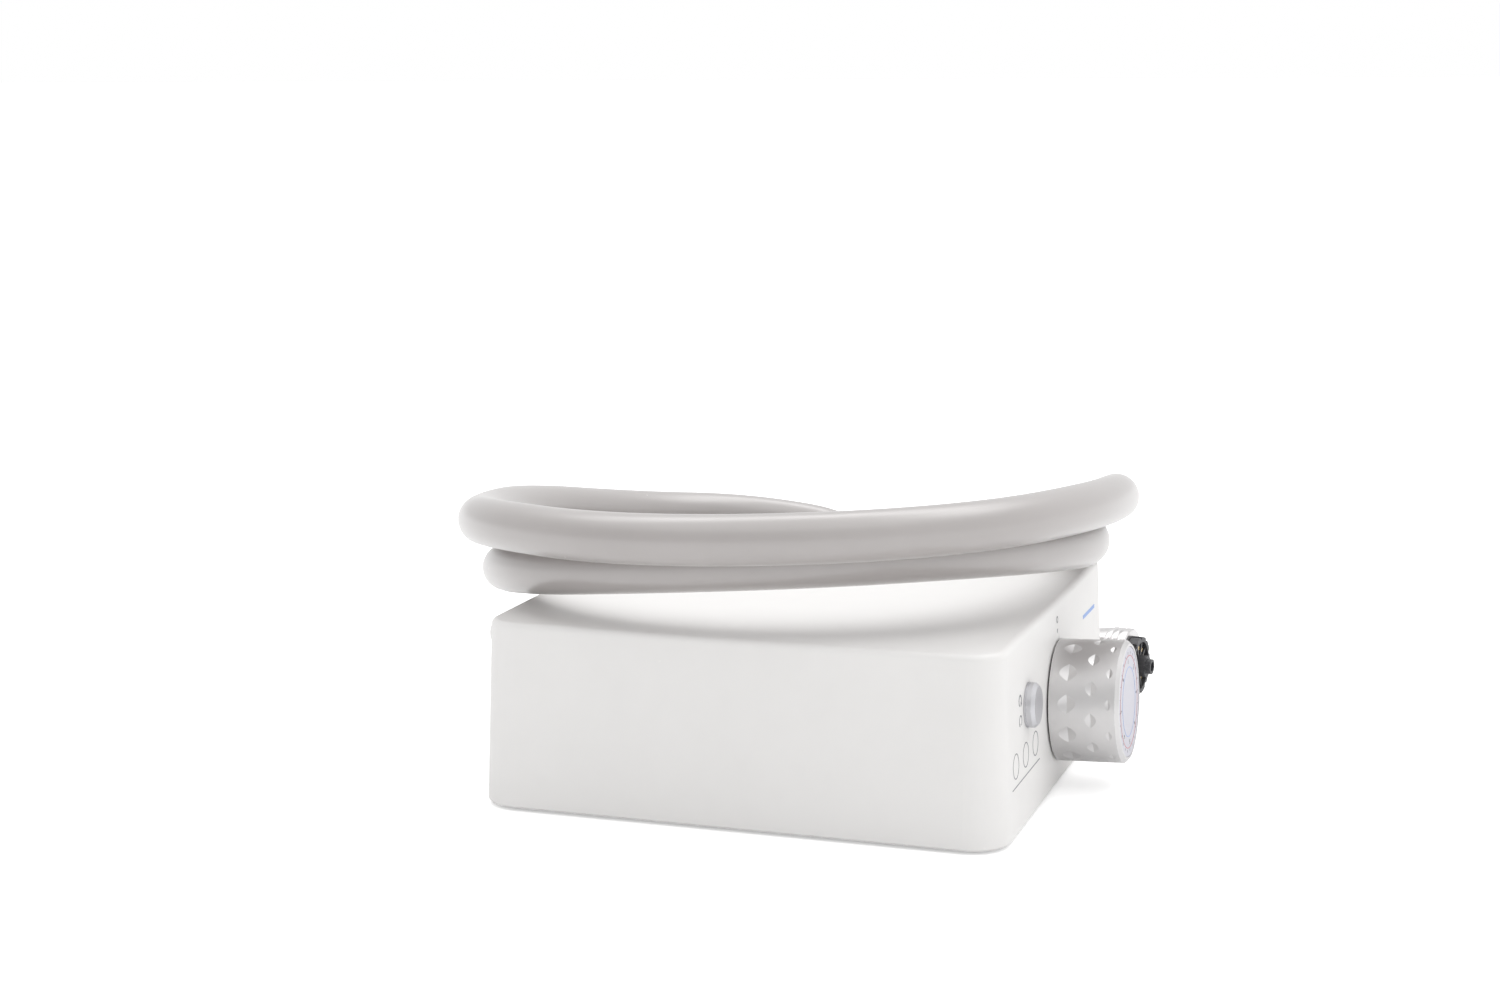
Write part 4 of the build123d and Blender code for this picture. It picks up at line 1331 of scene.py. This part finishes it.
# ---------------------------------------------------------------- rear bay and boards
@dataclass
class RearBay:
    """The recessed rear panel with its sockets, its power switch and the hose gland.

    Attributes:
        supply_x: The supply socket's place along the panel.
        rocker_x: The rocker's place.
        inlet_x: The air inlet's place.
        label_z: The height of the printed signs.
        supply_ring: Inner and outer radius of the sign over the socket.
        supply_dot: Radius of the dot in it.
        flow_start: Where the three flow arrows start, from the inlet's place.
        flow_step: The distance from one to the next.
        flow_size: Each one's length, and half its width.
        rocker_dip: How far the rocker's face falls from its middle to its ends.
        sign_at: How far the rocker's signs stand from its middle, as a share of its height.
        on_half: Half the width and half the height of the on sign.
        off_radii: Inner and outer radius of the off sign.
    """

    supply_x: float = -0.033
    rocker_x: float = -0.007
    inlet_x: float = 0.019
    label_z: float = 0.0275
    supply_ring: Flat = (0.0011, 0.0014)
    supply_dot: float = 0.0005
    flow_start: float = -0.0018
    flow_step: float = 0.0014
    flow_size: float = 0.0009
    rocker_dip: float = 0.0006
    sign_at: float = 0.30
    on_half: Flat = (0.0002, 0.0009)
    off_radii: Flat = (0.0006, 0.00095)

    def wall(self, x: float, z: float) -> Matrix:
        """Return the plane of the panel's outside at a place, its Z pointing out of the unit."""
        columns = (Vector((-1.0, 0.0, 0.0)), Vector((0.0, 0.0, 1.0)), Vector((0.0, 1.0, 0.0)))
        start = Vector((x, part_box("rear_panel")[1].y, z))
        return Matrix.Translation(start) @ Matrix(columns).transposed().to_4x4()

    def labels(self) -> bpy.types.Object:
        """Make the printed signs over the supply socket and the air inlet."""
        shape = Shape(self.wall(self.supply_x, self.label_z))
        shape.band(*self.supply_ring, steps=48)
        angles = [k * math.pi / 8 for k in range(16)]
        shape.prism([(self.supply_dot * math.cos(a), self.supply_dot * math.sin(a)) for a in angles])
        shape.place = self.wall(self.inlet_x, self.label_z)
        size = self.flow_size
        for k in range(3):
            low = self.flow_start + k * self.flow_step
            shape.prism(((low, -size), (low + size, 0.0), (low, size)))
        return shape.piece("bay_labels")

    def rocker_signs(self) -> bpy.types.Object:
        """Make the on and off signs on the rocker's two ends."""
        low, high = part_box("power_rocker")
        height = high.z - low.z
        y = high.y - self.rocker_dip * (1.0 - 2 * self.sign_at)
        slope = math.atan2(self.rocker_dip, height / 2)
        facing = self.wall(0.0, 0.0).to_3x3().to_4x4()
        wide, tall = self.on_half
        shape = Shape()
        for end in (-1.0, 1.0):
            middle = (self.rocker_x, y, (low.z + high.z) / 2 + end * height * self.sign_at)
            shape.place = Matrix.Translation(middle) @ Matrix.Rotation(slope * end, 4, "X") @ facing
            if end > 0:
                shape.slab(-wide, wide, tall, -INK_THICK, INK_THICK)
            else:
                shape.band(*self.off_radii, steps=SMALL_ROUND, low=-INK_THICK, high=INK_THICK)
        return shape.piece("rocker_signs")

    def build(self) -> None:
        """Dress the bay and print its signs."""
        PANEL_GREY.dress("rear_panel")
        STEEL.dress("panel_screws")
        BLACK_PLASTIC.dress("supply_socket", "rocker_frame", "hose_gland", "gland_nut")
        NICKEL.dress("supply_socket_nut", "supply_socket_pin", "air_inlet", "air_inlet_nut")
        GLOSS_BLACK.dress("power_rocker")
        VALVE.dress("air_valve")
        fit(self.labels(), WHITE_INK, "panel_grey", Body.UNIT)
        fit(self.rocker_signs(), WHITE_INK, "black_plastic", Body.ROCKER)


class Electronics:
    """The two boards inside and what stands on them."""

    def build(self) -> None:
        """Dress the boards and their parts."""
        BOARD.dress("control_board", "main_board")
        STEEL.dress("board_screws")
        SLEEVE.dress("capacitors")
        EPOXY.dress("control_chips", "power_transistors")
        HEADER.dress("board_headers")
        RELAY.dress("motor_relay")
        BLACK_METAL.dress("heat_sink")
        Wound("wound_copper", (0.62, 0.27, 0.12), (0.5, 0.2, 0.08), roughness=0.28, metallic=0.9,
              wear=0.0, centre=tuple(middle_of("choke_coil"))).dress("choke_coil")


@dataclass
class Connector:
    """The coupling on the hose's far end, with its loose nut and its contacts.

    Attributes:
        route: The hose's route, which ends in it.
    """

    route: tuple[Point, ...] = HOSE_ROUTE

    def build(self) -> None:
        """Dress the coupling's pieces, turned about the hose's end."""
        end, before = Vector(self.route[-1]), Vector(self.route[-2])
        axis, centre = tuple((end - before).normalized()), tuple(end)
        Turned("coupling_satin", (0.74, 0.73, 0.73), (0.60, 0.59, 0.59), roughness=0.30, metallic=1.0,
               wear=0.6, worn=(0.92, 0.92, 0.93), specks=0.0, centre=centre, axis=axis,
               ring_tone=0.3).dress("connector_body", "coupling_nut")
        Turned("insert_plastic", (0.045, 0.045, 0.05), (0.07, 0.07, 0.075), roughness=0.45, wear=0.6,
               worn=(0.22, 0.22, 0.23), centre=centre, axis=axis,
               ring_tone=0.2).dress("connector_insert")
        RUBBER.dress("connector_seal")
        GOLD.dress("contact_pins")


# ---------------------------------------------------------------- main
def main() -> None:
    """Build the studio, then each sub-assembly in order."""
    logging.basicConfig(level=logging.INFO, format="%(message)s")
    panel = Panel()
    for part in (Studio(), Housing(panel), SpeedKnob(panel), DirectionButton(panel), RearBay(),
                 Electronics(), Hose(), Connector()):
        part.build()
        LOG.info("built %s", type(part).__name__)


if __name__ == "__main__":
    main()
